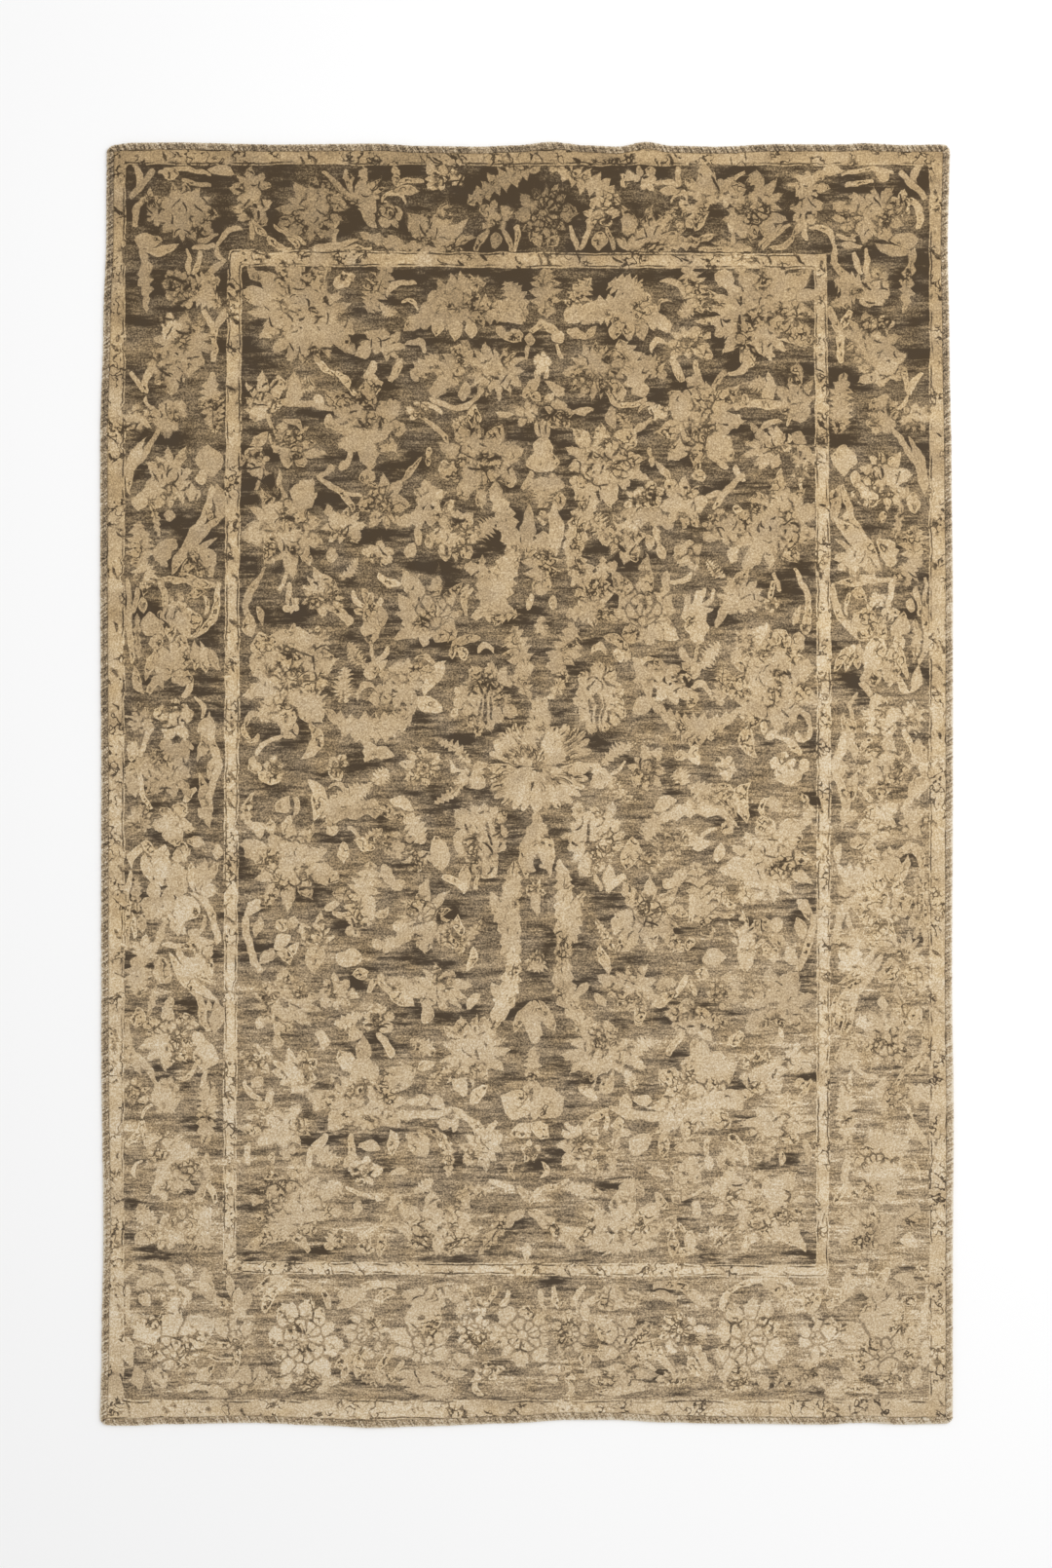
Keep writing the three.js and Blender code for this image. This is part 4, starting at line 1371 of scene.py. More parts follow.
def filler_leaves(flowers, leaves, rng):
    """Fills the free ground of the left half, without touching a motif."""
    rows, columns = np.mgrid[0:CHART_HEIGHT, 0:int(CENTRE_X) + PAST_MIDDLE]
    depths = guard_depths(columns.ravel(), rows.ravel()).reshape(*rows.shape, 4)
    rooted = np.zeros(rows.shape, dtype=bool)
    for _, x, y, radius, squash, _ in flowers:
        grown = radius * FLOWER_GROWTH
        rooted |= ((columns - x) / (grown * squash)) ** 2 + ((rows - y) / grown) ** 2 < FLOWER_CORE
    for row in leaves:
        grid_x, grid_y = leaf_points(row, 0)
        inside = grid_x < rooted.shape[1]
        rooted[grid_y[inside].astype(int), grid_x[inside].astype(int)] = True
    taken = rooted | (depths[..., 0] < OUTER_GUARD_CLEAR[0])
    taken |= (depths[..., 1] < OUTER_GUARD_CLEAR[1]) & (depths[..., 0] > 0)
    taken |= (depths[..., 2] > INNER_GUARD_CLEAR[0]) & (depths[..., 3] < INNER_GUARD_CLEAR[1])
    fillers = []
    for kind, tries, shortest, longest, thinnest, thickest, most_bulge in FILLERS:
        blurred = rooted.astype(float)
        for _ in range(BLURS):
            for axis in (0, 1):
                blurred = (np.roll(blurred, 1, axis) + blurred + np.roll(blurred, -1, axis)) / 3
        slope_y, slope_x = np.gradient(blurred)
        rim_y, rim_x = np.nonzero(rooted & (blurred < RIM_SHARE))
        for _ in range(tries):
            start = rng.integers(len(rim_x), size=2).max()
            x, y = float(rim_x[start]), float(rim_y[start])
            length = rng.uniform(shortest, longest)
            width = rng.uniform(thinnest, thickest)
            foot = (rim_y[start], rim_x[start])
            outward = math.atan2(-slope_y[foot], -slope_x[foot])
            angle = outward + rng.uniform(-FILLER_SPREAD, FILLER_SPREAD)
            tip_x = x + length * math.cos(angle)
            tip_y = y + length * math.sin(angle)
            row = (kind, x, y, tip_x, tip_y, width, rng.uniform(-most_bulge, most_bulge))
            grid_x, grid_y = leaf_points(row, FILLER_GAP)
            if grid_x.min() < BORDER_LEFT:
                continue
            if grid_y.min() < BORDER_TOP or grid_y.max() > BORDER_BOTTOM:
                continue
            if max(x, tip_x) > CENTRE_X - FILLER_FREE:
                continue
            free = round(FILLER_ROOT * len(grid_x))
            cells = (grid_y.astype(int), np.minimum(grid_x.astype(int), rooted.shape[1] - 1))
            if taken[cells][free:].any():
                continue
            taken[cells] = True
            rooted[cells] = True
            fillers.append(row)
    return fillers


def all_marks(rng):
    """Every dark stroke over the flowers and the guard bands."""
    strokes = []
    for x, y, end_x, end_y, count in GUARD_STROKES:
        for _ in range(count):
            share = rng.uniform()
            angle = STROKE_SLANT + rng.normal(0, STROKE_SCATTER)
            half = rng.uniform(*ARC_LENGTH) / 2
            mid_x = x + (end_x - x) * share + rng.uniform(-STROKE_ASIDE, STROKE_ASIDE)
            mid_y = y + (end_y - y) * share + rng.uniform(-STROKE_ASIDE, STROKE_ASIDE)
            step_x, step_y = half * math.cos(angle), half * math.sin(angle)
            width = rng.uniform(*ARC_WIDTH)
            bulge = rng.uniform(-STROKE_BEND, STROKE_BEND) * half
            ends = (mid_x - step_x, mid_y - step_y, mid_x + step_x, mid_y + step_y)
            strokes.append(("stroke", *ends, width, bulge))
    arcs = []
    for _, x, y, radius, squash, _ in (*SIDE_FLOWERS, *QUARTER_FLOWERS):
        for _ in range(round(radius * ARCS)):
            angle = rng.uniform(0, 2 * math.pi)
            out = radius * rng.uniform(*ARC_OUT)
            along = angle + math.pi / 2 + rng.normal(0, ARC_SCATTER)
            half = rng.uniform(*ARC_LENGTH) / 2
            mid_x = x + out * squash * math.cos(angle)
            mid_y = y + out * math.sin(angle)
            step_x, step_y = half * math.cos(along), half * math.sin(along)
            bulge = rng.uniform(-ARC_BEND, ARC_BEND) * half
            ends = (mid_x - step_x, mid_y - step_y, mid_x + step_x, mid_y + step_y)
            arcs.append(("stroke", *ends, rng.uniform(*ARC_WIDTH), bulge))
    return mirrored_leaves(arcs, 2) + mirrored_leaves(MARKS, 2) + strokes


def all_leaves(rng):
    """Every leaf and stem, the fillers lowest."""
    leaves = [*MIDDLE_LEAVES, *mirrored_leaves(SIDE_LEAVES, 2), *mirrored_leaves(QUARTER_LEAVES, 4)]
    fillers = filler_leaves(all_flowers(), leaves, rng)
    return mirrored_leaves(fillers, 2) + leaves


def face_slots(count, faces):
    """The motifs' numbers on each face, the uppermost first, none of them set yet."""
    return [np.full(faces, -1, dtype=int) for _ in range(count)]


def push_slot(slots, touched, number):
    """Lays one more motif on top of those already on the touched faces."""
    for lower, upper in zip(slots[:0:-1], slots[-2::-1]):
        lower[touched] = upper[touched]
    slots[0][touched] = number


def corner_places(frames, numbers, corners, corner_face):
    """Where each corner lies in the motif that its face has in a slot, and that motif's
    number for each face."""
    number = np.maximum(numbers, 0)
    own = frames[number[corner_face]]
    away = corners - own[:, 0:2]
    u = (away * own[:, 2:4]).sum(axis=1)
    v = (away * own[:, 4:6]).sum(axis=1)
    u[numbers[corner_face] < 0] = FAR_AWAY
    return u, v, number


def store(mesh, name, kind, domain, values):
    """Keeps values on the mesh, where its material reads them."""
    layer = mesh.attributes.new(name, kind, domain)
    field = "color" if kind == "FLOAT_COLOR" else "vector"
    layer.data.foreach_set(field, np.ascontiguousarray(values, dtype=np.float32).ravel())


def draw_flowers(mesh, centres, corners, corner_face):
    """Gives each face the flowers that lie on it, as places within each flower."""
    flowers = all_flowers()
    rng = np.random.default_rng(FLOWER_SEED)
    frames = []
    slots = face_slots(FLOWER_SLOTS, len(centres))
    for number, (_, x, y, radius, squash, turn) in enumerate(flowers):
        centre = np.array(chart_place(x, y))
        tall = radius * FLOWER_GROWTH * KNOT
        wide = tall * squash
        angle = math.radians(turn)
        across = np.array([math.cos(angle), -math.sin(angle)]) / wide
        upward = np.array([math.sin(angle), math.cos(angle)]) / tall
        frames.append(np.concatenate([centre, across, upward]))
        away = centres - centre
        u = away @ across
        v = away @ upward
        near = np.hypot(u, v) < FLOWER_REACH + FLOWER_MARGIN / min(tall, wide)
        push_slot(slots, near, number)
    frames = np.array(frames)
    looks = np.array([FLOWERS[row[0]] for row in flowers])
    sizes = np.array([row[3] * FLOWER_GROWTH * KNOT * (1 + row[4]) / 2 / MM for row in flowers])
    seeds = rng.uniform(*FLOWER_SEEDS, len(flowers))
    tints = rng.uniform(*FLOWER_TINTS, len(flowers))
    for slot, numbers in enumerate(slots):
        u, v, number = corner_places(frames, numbers, corners, corner_face)
        seed = seeds[number[corner_face]]
        store(mesh, f"flower_{slot}", "FLOAT_VECTOR", "CORNER", np.stack([u, v, seed], axis=1))
        look = looks[number]
        store(mesh, f"flower_form_{slot}", "FLOAT_COLOR", "FACE", look[:, 0:4])
        rest = np.stack([look[:, 4], look[:, 5], sizes[number], look[:, 6] * tints[number]], axis=1)
        store(mesh, f"flower_look_{slot}", "FLOAT_COLOR", "FACE", rest)


def draw_leaves(mesh, centres, corners, corner_face, name, leaves, count, rng):
    """Gives each face the leaves, stems or strokes that lie on it."""
    frames = []
    forms = []
    slots = face_slots(count, len(centres))
    for number, (kind, x, y, tip_x, tip_y, width, bulge) in enumerate(leaves):
        start = np.array(chart_place(x, y))
        tip = np.array(chart_place(tip_x, tip_y))
        middle = (start + tip) / 2
        half = np.linalg.norm(tip - start) / 2
        along = (tip - start) / (2 * half)
        left = np.array([-along[1], along[0]])
        frames.append(np.concatenate([middle, along / half, left / half]))
        half_width = width * LEAF_GROWTH * KNOT / 2 / half
        arc = bulge * KNOT / half
        taper, teeth, tooth, rib, tone = LEAVES[kind]
        tint = rng.uniform(*LEAF_TINTS)
        forms.append((half_width, arc, taper, teeth, tooth, rib, half / MM, tone * tint))
        away = centres - middle
        u = away @ along / half
        v = away @ left / half
        margin = LEAF_MARGIN / half
        inside = np.maximum(1 - u * u, 0)
        reach = half_width * inside ** taper + margin * (1 + abs(arc))
        near = (np.abs(u) < 1 + margin) & (np.abs(v - arc * inside) < reach)
        push_slot(slots, near, number)
    frames = np.array(frames)
    forms = np.array(forms)
    for slot, numbers in enumerate(slots):
        u, v, number = corner_places(frames, numbers, corners, corner_face)
        size = forms[number[corner_face], 6]
        store(mesh, f"{name}_{slot}", "FLOAT_VECTOR", "CORNER", np.stack([u, v, size], axis=1))
        form = forms[number]
        store(mesh, f"{name}_form_{slot}", "FLOAT_COLOR", "FACE", form[:, 0:4])
        store(mesh, f"{name}_look_{slot}", "FLOAT_COLOR", "FACE", form[:, 4:8])


def new_wool(name):
    """A material for wool with nothing but its shader yet."""
    material = bpy.data.materials.new(name)
    material.use_nodes = True
    tree = material.node_tree
    tree.nodes.clear()
    output = add_node(tree, "ShaderNodeOutputMaterial")
    inputs = {"Roughness": WOOL_ROUGHNESS, "Specular IOR Level": WOOL_SPECULAR}
    shader = add_node(tree, "ShaderNodeBsdfPrincipled", None, inputs)
    tree.links.new(shader.outputs["BSDF"], output.inputs["Surface"])
    return material, tree, shader


def dyed(tree, shade):
    """The yarns' colour at a shade."""
    ramp = add_node(tree, "ShaderNodeValToRGB", None, {0: shade})
    for position, _ in YARNS[2:]:
        ramp.color_ramp.elements.new(position)
    for stop, (position, colour) in zip(ramp.color_ramp.elements, YARNS):
        stop.position = position
        stop.color = linear(colour)
    return ramp.outputs[0]


# What the pile's mesh keeps for each motif, in the order of its three attributes
FLOWER_SOURCES = ("u", "v", "seed", "petals", "heart", "cut", "point", "ring", "lines", "size")
LEAF_SOURCES = ("u", "v", None, "width", "bulge", "taper", "teeth", "tooth", "rib", "size")


def motif_layer(tree, known, kind, slot, group):
    """Lays one slot's flower or leaf over what is drawn so far, in a dark outline."""
    where = add_node(tree, "ShaderNodeAttribute", {"attribute_name": f"{kind}_{slot}"})
    form = add_node(tree, "ShaderNodeAttribute", {"attribute_name": f"{kind}_form_{slot}"})
    look = add_node(tree, "ShaderNodeAttribute", {"attribute_name": f"{kind}_look_{slot}"})
    places = add_node(tree, "ShaderNodeSeparateXYZ", None, {0: where.outputs["Vector"]}).outputs
    forms = add_node(tree, "ShaderNodeSeparateColor", None, {0: form.outputs["Color"]}).outputs
    looks = add_node(tree, "ShaderNodeSeparateColor", None, {0: look.outputs["Color"]}).outputs
    sources = (*places, *forms, form.outputs["Alpha"], *looks)
    names = FLOWER_SOURCES if kind == "flower" else LEAF_SOURCES
    inputs = {name: source for name, source in zip(names, sources) if name}
    for name in ("jitter x", "jitter y", "drawn"):
        inputs[name] = known[name]
    motif = add_node(tree, "ShaderNodeGroup", {"node_tree": group}, inputs)
    known["depth"] = motif.outputs["depth"]
    known["line"] = motif.outputs["line"]
    known["tone"] = look.outputs["Alpha"]
    add_steps(tree, known, LAYER_STEPS)


# One motif over those below it. Depths are in mm inside an outline.
LAYER_STEPS = (
    ("cover", "MULTIPLY_ADD clamped", "depth", 0.6, 0.5),
    ("halo", "MULTIPLY_ADD clamped", "depth", 0.5, 1.6),
    ("outline", "MULTIPLY", "halo", "outlined"),
    ("under", "SUBTRACT", 1.0, "outline"),
    ("light below", "MULTIPLY", "light", "under"),
    ("step", "SUBTRACT", "tone", "light below"),
    ("light", "MULTIPLY_ADD", "step", "cover", "light below"),
    ("uncovered", "SUBTRACT", 1.0, "cover"),
    ("lines below", "MULTIPLY", "lines", "uncovered"),
    ("lines", "MULTIPLY_ADD", "line", "cover", "lines below"),
    ("rim", "MAXIMUM", "rim", "depth"),
)

# How far a place strays from the drawing, in mm, and where the drawn lines still show
START_STEPS = (
    ("sway 1", "MULTIPLY_ADD", "sway red", 26.0, -21.0),
    ("sway 2", "MULTIPLY_ADD", "sway green", 26.0, -17.0),
    ("comb", "MULTIPLY_ADD", "streak", 10.0, -1.0),
    ("jitter 1", "MULTIPLY_ADD", "wander red", 8.0, "sway 1"),
    ("jitter x", "ADD", "jitter 1", "comb"),
    ("jitter y", "MULTIPLY_ADD", "wander green", 8.0, "sway 2"),
    ("drawn 1", "MULTIPLY_ADD", "sway blue", 9.0, -6.8),
    ("drawn", "MULTIPLY_ADD clamped", "wander blue", 5.0, "drawn 1"),
    ("outlined", "MULTIPLY", "drawn", 0.9),
)
# Before the first motif there is no light yarn, no line, and no rim near, in mm.
BARE_GROUND = {"light": 0.0, "lines": 0.0, "rim": -20.0}

# Wear has bitten into the flowers, and thin dark lines wander in them.
WEAR_STEPS = (
    ("bitten", "MULTIPLY_ADD clamped", "bite", 16.0, -11.0),
    ("left over", "SUBTRACT", 1.0, "bitten"),
    ("light", "MULTIPLY", "light", "left over"),
    ("winding", "MULTIPLY", "wind", 4.0),
    ("crack", "PINGPONG", "winding", 0.5),
    ("crack line", "MULTIPLY_ADD clamped", "crack", -7.0, 1.3),
    ("crack mask", "MULTIPLY_ADD clamped", "sway blue", 10.0, -5.1),
    ("crack depth", "MULTIPLY_ADD clamped", "rim", 0.4, -1.0),
    ("crack 1", "MULTIPLY", "crack line", "crack mask"),
    ("crack 2", "MULTIPLY", "crack 1", "crack depth"),
    ("lines", "MAXIMUM", "lines", "crack 2"),
)

# The two guard bands lie over the flowers: the depth inside them, a dark line a
# little way in, and cream along their edges.
GUARD_STEPS = (
    ("outer far", "MULTIPLY", "outer end", -1.0),
    ("outer in", "MINIMUM", "outer start", "outer far"),
    ("inner far", "MULTIPLY", "inner end", -1.0),
    ("inner in", "MINIMUM", "inner start", "inner far"),
    ("band", "MAXIMUM", "outer in", "inner in"),
    ("gaps", "MULTIPLY_ADD clamped", "patch", 14.0, -8.6),
    ("kept band", "MULTIPLY_ADD", "gaps", -9.0, "band"),
    ("depth", "MULTIPLY_ADD", "jitter x", 0.4, "kept band"),
    ("line place", "SUBTRACT", "depth", 4.6),
    ("line gap", "ABSOLUTE", "line place"),
    ("line soft", "MULTIPLY_ADD clamped", "line gap", -0.5, 1.25),
    ("line drawn", "MULTIPLY_ADD clamped", "sway green", 7.0, -3.0),
    ("long line", "MULTIPLY", "line soft", "line drawn"),
    ("scratched", "MULTIPLY_ADD clamped", "sway red", 12.0, -5.8),
    ("scratch", "MULTIPLY", "crack line", "scratched"),
    ("line", "MAXIMUM", "long line", "scratch"),
    ("inner on", "MULTIPLY_ADD clamped", "inner in", 0.5, 0.5),
    ("tone 1", "MULTIPLY_ADD", "patch", 0.9, 0.74),
    ("tone", "MULTIPLY_ADD", "inner on", 0.16, "tone 1"),
)

# Shades are along the scale of YARNS.
FINISH_STEPS = (
    ("cover 1", "MINIMUM", "light", 1.0),
    ("worn 1", "MULTIPLY_ADD", "patch", 5.0, -3.0),
    ("worn", "MULTIPLY_ADD clamped", "fade", 0.35, "worn 1"),
    ("whole", "MULTIPLY_ADD", "worn", -0.35, 1.0),
    ("cover all", "MULTIPLY", "cover 1", "whole"),
    ("grainy", "SUBTRACT", "grain", 0.5),
    ("streaky", "SUBTRACT", "streak", 0.5),
    ("patchy", "SUBTRACT", "patch", 0.5),
    # The ground: flat and dark in places, and mottled in rows elsewhere
    ("ragged 1", "MULTIPLY_ADD", "streaky", 0.6, "patch"),
    ("ragged 2", "MULTIPLY_ADD", "fade", 0.12, "ragged 1"),
    ("mottled", "MULTIPLY_ADD clamped", "ragged 2", 9.0, -3.7),
    ("ground 0", "MULTIPLY_ADD", "patchy", 0.3, 0.2),
    ("ground 1", "MULTIPLY_ADD", "streaky", 1.25, "ground 0"),
    ("ground 2", "MULTIPLY_ADD", "grainy", 1.6, "ground 1"),
    ("uneven fade", "MULTIPLY_ADD", "streaky", 0.7, 0.27),
    ("ground 3", "MULTIPLY_ADD", "fade", "uneven fade", "ground 2"),
    ("ground 4", "MULTIPLY", "mottled", "ground 3"),
    ("ground", "MULTIPLY_ADD clamped", "worn", 0.15, "ground 4"),
    # The drawing's yarn, cream at its edge, with dark lines
    ("extra", "SUBTRACT", "light", "cover 1"),
    ("yarn 0", "MULTIPLY_ADD", "patchy", 0.4, 0.56),
    ("yarn 1", "MULTIPLY_ADD", "extra", 0.38, "yarn 0"),
    ("yarn fade", "MINIMUM", "fade", 0.55),
    ("yarn 2", "MULTIPLY_ADD", "yarn fade", 0.22, "yarn 1"),
    ("yarn 3", "MULTIPLY_ADD", "grainy", 1.1, "yarn 2"),
    ("yarn 4", "MULTIPLY_ADD", "streaky", 0.2, "yarn 3"),
    ("rim band", "MULTIPLY_ADD clamped", "rim", -0.35, 1.2),
    ("rim light", "MULTIPLY", "rim band", "drawn"),
    ("yarn 5", "MULTIPLY_ADD", "rim light", 0.08, "yarn 4"),
    ("yarn", "MULTIPLY_ADD", "lines", -0.65, "yarn 5"),
    ("rise", "SUBTRACT", "yarn", "ground"),
    ("shade", "MULTIPLY_ADD", "rise", "cover all", "ground"),
    # How warm the dye is: it is warmer towards the top of the rug
    ("warm 1", "MULTIPLY_ADD", "sway blue", 1.6, -0.3),
    ("warm", "MULTIPLY_ADD clamped", "along", 0.3, "warm 1"),
)


def pile_material():
    """Short cut wool pile: quite matt, grained by its cut ends, and faded in streaks along
    its rows of knots, which its worn drawing follows too."""
    material, tree, shader = new_wool("cut_wool_pile")
    place = add_node(tree, "ShaderNodeTexCoord").outputs["Object"]
    known = dict(BARE_GROUND)
    noises = {}
    for name, size, detail, roughness in SPOTS:
        settings = {"Vector": place, "Scale": 1 / (size * MM), "Detail": detail, "Roughness": roughness}
        noises[name] = add_node(tree, "ShaderNodeTexNoise", None, settings)
    for name in ("wander", "sway"):
        colour = noises[name].outputs["Color"]
        parts = add_node(tree, "ShaderNodeSeparateColor", None, {0: colour}).outputs
        known.update(zip((f"{name} red", f"{name} green", f"{name} blue"), parts))
    for name in ("grain", "wind"):
        known[name] = noises[name].outputs["Fac"]
    for name, across, along, detail, roughness in ROW_SPOTS:
        scale = (1 / (across * MM), 1 / (along * MM), 1)
        mapping = add_node(tree, "ShaderNodeMapping", None, {"Vector": place, "Scale": scale})
        settings = {"Vector": mapping.outputs[0], "Scale": 1.0, "Detail": detail, "Roughness": roughness}
        known[name] = add_node(tree, "ShaderNodeTexNoise", None, settings).outputs["Fac"]
    known["along"] = add_node(tree, "ShaderNodeSeparateXYZ", None, {0: place}).outputs["Y"]
    bands = add_node(tree, "ShaderNodeAttribute", {"attribute_name": "bands"})
    edges = add_node(tree, "ShaderNodeSeparateColor", None, {0: bands.outputs["Color"]}).outputs
    known.update(zip(("outer start", "outer end", "inner start"), edges))
    known["inner end"] = bands.outputs["Alpha"]
    known["fade"] = add_node(tree, "ShaderNodeAttribute", {"attribute_name": "fade"}).outputs["Fac"]
    add_steps(tree, known, START_STEPS)

    leaf = leaf_group()
    flower = flower_group()
    for slot in reversed(range(LEAF_SLOTS)):
        motif_layer(tree, known, "leaf", slot, leaf)
    for slot in reversed(range(FLOWER_SLOTS)):
        motif_layer(tree, known, "flower", slot, flower)
    add_steps(tree, known, WEAR_STEPS)
    add_steps(tree, known, GUARD_STEPS)
    add_steps(tree, known, LAYER_STEPS)
    for slot in reversed(range(MARK_SLOTS)):
        motif_layer(tree, known, "mark", slot, leaf)
    add_steps(tree, known, FINISH_STEPS)

    colour = dyed(tree, known["shade"])
    warmed = add_node(tree, "ShaderNodeMix", {"data_type": "RGBA", "blend_type": "MULTIPLY"},
                      {0: known["warm"], 6: colour, 7: linear(WARM_TINT)})
    tree.links.new(warmed.outputs[2], shader.inputs["Base Color"])
    bump = add_node(tree, "ShaderNodeBump", None,
                    {"Height": known["grain"], "Strength": GRAIN_STRENGTH, "Distance": GRAIN_DEPTH})
    tree.links.new(bump.outputs["Normal"], shader.inputs["Normal"])
    return material


def guard_depths(x, y):
    """How far places lie inside each of the guard bands' four edges, in mm."""
    depths = []
    for edge in range(1, 5):
        sides = []
        for side, rows in GUARD_EDGES.items():
            along, across = (y, x) if side in ("left", "right") else (x, y)
            place = np.interp(along, [row[0] for row in rows], [row[edge] for row in rows])
            sides.append(across - place if side in ("left", "top") else place - across)
        depths.append(np.minimum.reduce(sides) * KNOT / MM)
    return np.stack(depths, axis=1)


def fade_at(places):
    """How far the rug has faded at places on it."""
    x, y = knots(places)
    heights = [row[0] for row in FADED]
    columns = [np.interp(y, heights, [row[column] for row in FADED]) for column in (1, 2, 3)]
    left, middle, right = FADED_COLUMNS
    first = np.clip((x - left) / (middle - left), 0, 1)
    second = np.clip((x - middle) / (right - middle), 0, 1)
    return columns[0] * (1 - first) + columns[1] * (first - second) + columns[2] * second


def draw_bands(mesh, places):
    """Gives each vertex its depth inside the guard bands, and how faded it is."""
    store(mesh, "bands", "FLOAT_COLOR", "POINT", guard_depths(*knots(places)))
    layer = mesh.attributes.new("fade", "FLOAT", "POINT")
    layer.data.foreach_set("value", fade_at(places).astype(np.float32))


def pile_mesh():
    """The pile and its foundation: a fine grid on top, a rounded shoulder, an
    upright wall and a flat underside."""
    half_width = RUG_WIDTH / 2 - EDGING_WIDTH - SEWN_GAP
    half_length = RUG_LENGTH / 2 - EDGING_WIDTH - SEWN_GAP
    top_width = half_width - PILE_SHOULDER
    top_length = half_length - PILE_SHOULDER
    bm = bmesh.new()
    across = round(2 * top_width / PILE_CELL)
    along = round(2 * top_length / PILE_CELL)
    bmesh.ops.create_grid(bm, x_segments=across, y_segments=along, size=1)
    bmesh.ops.scale(bm, vec=(top_width, top_length, 1), verts=bm.verts)
    for vert in bm.verts:
        vert.co.z = TOP_LEVEL
    rim = [edge for edge in bm.edges if edge.is_boundary]
    for level in (SHOULDER_LEVEL, UNDERSIDE_LEVEL):
        made = bmesh.ops.extrude_edge_only(bm, edges=rim)["geom"]
        verts = [item for item in made if isinstance(item, bmesh.types.BMVert)]
        reach_x = max(vert.co.x for vert in verts)
        reach_y = max(vert.co.y for vert in verts)
        bmesh.ops.scale(bm, vec=(half_width / reach_x, half_length / reach_y, 1), verts=verts)
        for vert in verts:
            vert.co.z = level
        rim = [item for item in made if isinstance(item, bmesh.types.BMEdge)]
    bmesh.ops.edgeloop_fill(bm, edges=rim)
    bmesh.ops.recalc_face_normals(bm, faces=bm.faces)
    return finished_mesh(bm, "pile")


def make_pile():
    """The rug's pile, uneven as the real one, with the pattern laid on its faces."""
    mesh = pile_mesh()
    places = read(mesh.vertices, "co", 3)
    top = pile_top(places[:, 0], places[:, 1])
    level = places[:, 2].copy()
    lower = np.where(level == SHOULDER_LEVEL, top - PILE_SHOULDER_DROP, 0)
    places[:, 2] = np.where(level == TOP_LEVEL, top, lower)
    places[:, 0], places[:, 1] = place_on_rug(places[:, 0], places[:, 1])
    mesh.vertices.foreach_set("co", places.ravel())
    mesh.update()

    centres = read(mesh.polygons, "center", 3)[:, 0:2]
    totals = read(mesh.polygons, "loop_total", 1, int)[:, 0]
    corner_face = np.repeat(np.arange(len(centres)), totals)
    corner_vertex = read(mesh.loops, "vertex_index", 1, int)[:, 0]
    corners = places[corner_vertex, 0:2]
    draw_flowers(mesh, centres, corners, corner_face)
    rng = np.random.default_rng(LEAF_SEED)
    draw_leaves(mesh, centres, corners, corner_face, "leaf", all_leaves(rng), LEAF_SLOTS, rng)
    draw_leaves(mesh, centres, corners, corner_face, "mark", all_marks(rng), MARK_SLOTS, rng)
    draw_bands(mesh, places)
    mesh.materials.append(pile_material())
    return add_object("pile", mesh)


def run_yarn(bm, front, run):
    """Draws the yarn on from its front end, outwards or back again."""
    made = bmesh.ops.extrude_face_region(bm, geom=[front])["geom"]
    front = next(item for item in made if isinstance(item, bmesh.types.BMFace))
    bmesh.ops.translate(bm, vec=(0, run, 0), verts=front.verts)
    return front


def yarn_turn():
    """One turn of yarn, in at the underside, round the rim and back over the top:
    x along the edge, y out towards the rim, slanted across the top."""
    rise = (EDGING_HEIGHT - YARN_THICKNESS) / 2
    bend = EDGING_WIDTH - rise - YARN_THICKNESS / 2
    bm = bmesh.new()
    bmesh.ops.create_circle(bm, cap_ends=True, segments=YARN_SIDES, radius=0.5)
    bmesh.ops.rotate(bm, verts=bm.verts, matrix=Matrix.Rotation(math.pi / 2, 3, "X"))
    bmesh.ops.scale(bm, vec=(YARN_WIDTH, 1, YARN_THICKNESS), verts=bm.verts)
    bmesh.ops.translate(bm, vec=(0, YARN_START, YARN_THICKNESS / 2), verts=bm.verts)
    front = run_yarn(bm, bm.faces[:][0], bend - YARN_START)
    end = [front, *front.edges, *front.verts]
    made = bmesh.ops.spin(bm, geom=end, cent=(0, bend, EDGING_HEIGHT / 2), axis=(1, 0, 0),
                          angle=math.pi, steps=YARN_BEND_STEPS)["geom_last"]
    front = next(item for item in made if isinstance(item, bmesh.types.BMFace))
    for _ in range(2):
        front = run_yarn(bm, front, (YARN_START - bend) / 2)
    for vert in bm.verts:
        side = min(max((vert.co.z - EDGING_HEIGHT / 2) / rise, -1), 1)
        vert.co.x += YARN_SLANT * (EDGING_WIDTH - vert.co.y) * side
    bmesh.ops.recalc_face_normals(bm, faces=bm.faces)
    for face in bm.faces:
        face.smooth = True
    return finished_mesh(bm, "turn")


# Speckled, with painted shade: the yarn is painted dark along the pile and paler out at the rim
EDGING_STEPS = (
    ("spread", "MULTIPLY_ADD", "fleck", 2.2, -1.1),
    ("shade 1", "MULTIPLY_ADD", "tint", 0.45, "spread"),
    ("shade 2", "MULTIPLY_ADD", "slow", 0.7, "shade 1"),
    # Painted shade: darker where the yarn lies along the pile, paler out at the rim
    ("painted light at rim", "MULTIPLY_ADD clamped", "out", 2.6, -1.5),
    ("shade 3", "MULTIPLY_ADD", "painted light at rim", 0.42, "shade 2"),
    ("shade 4", "MULTIPLY_ADD", "fade", 0.24, "shade 3"),
    ("shade", "ADD", "shade 4", 0.03),
)


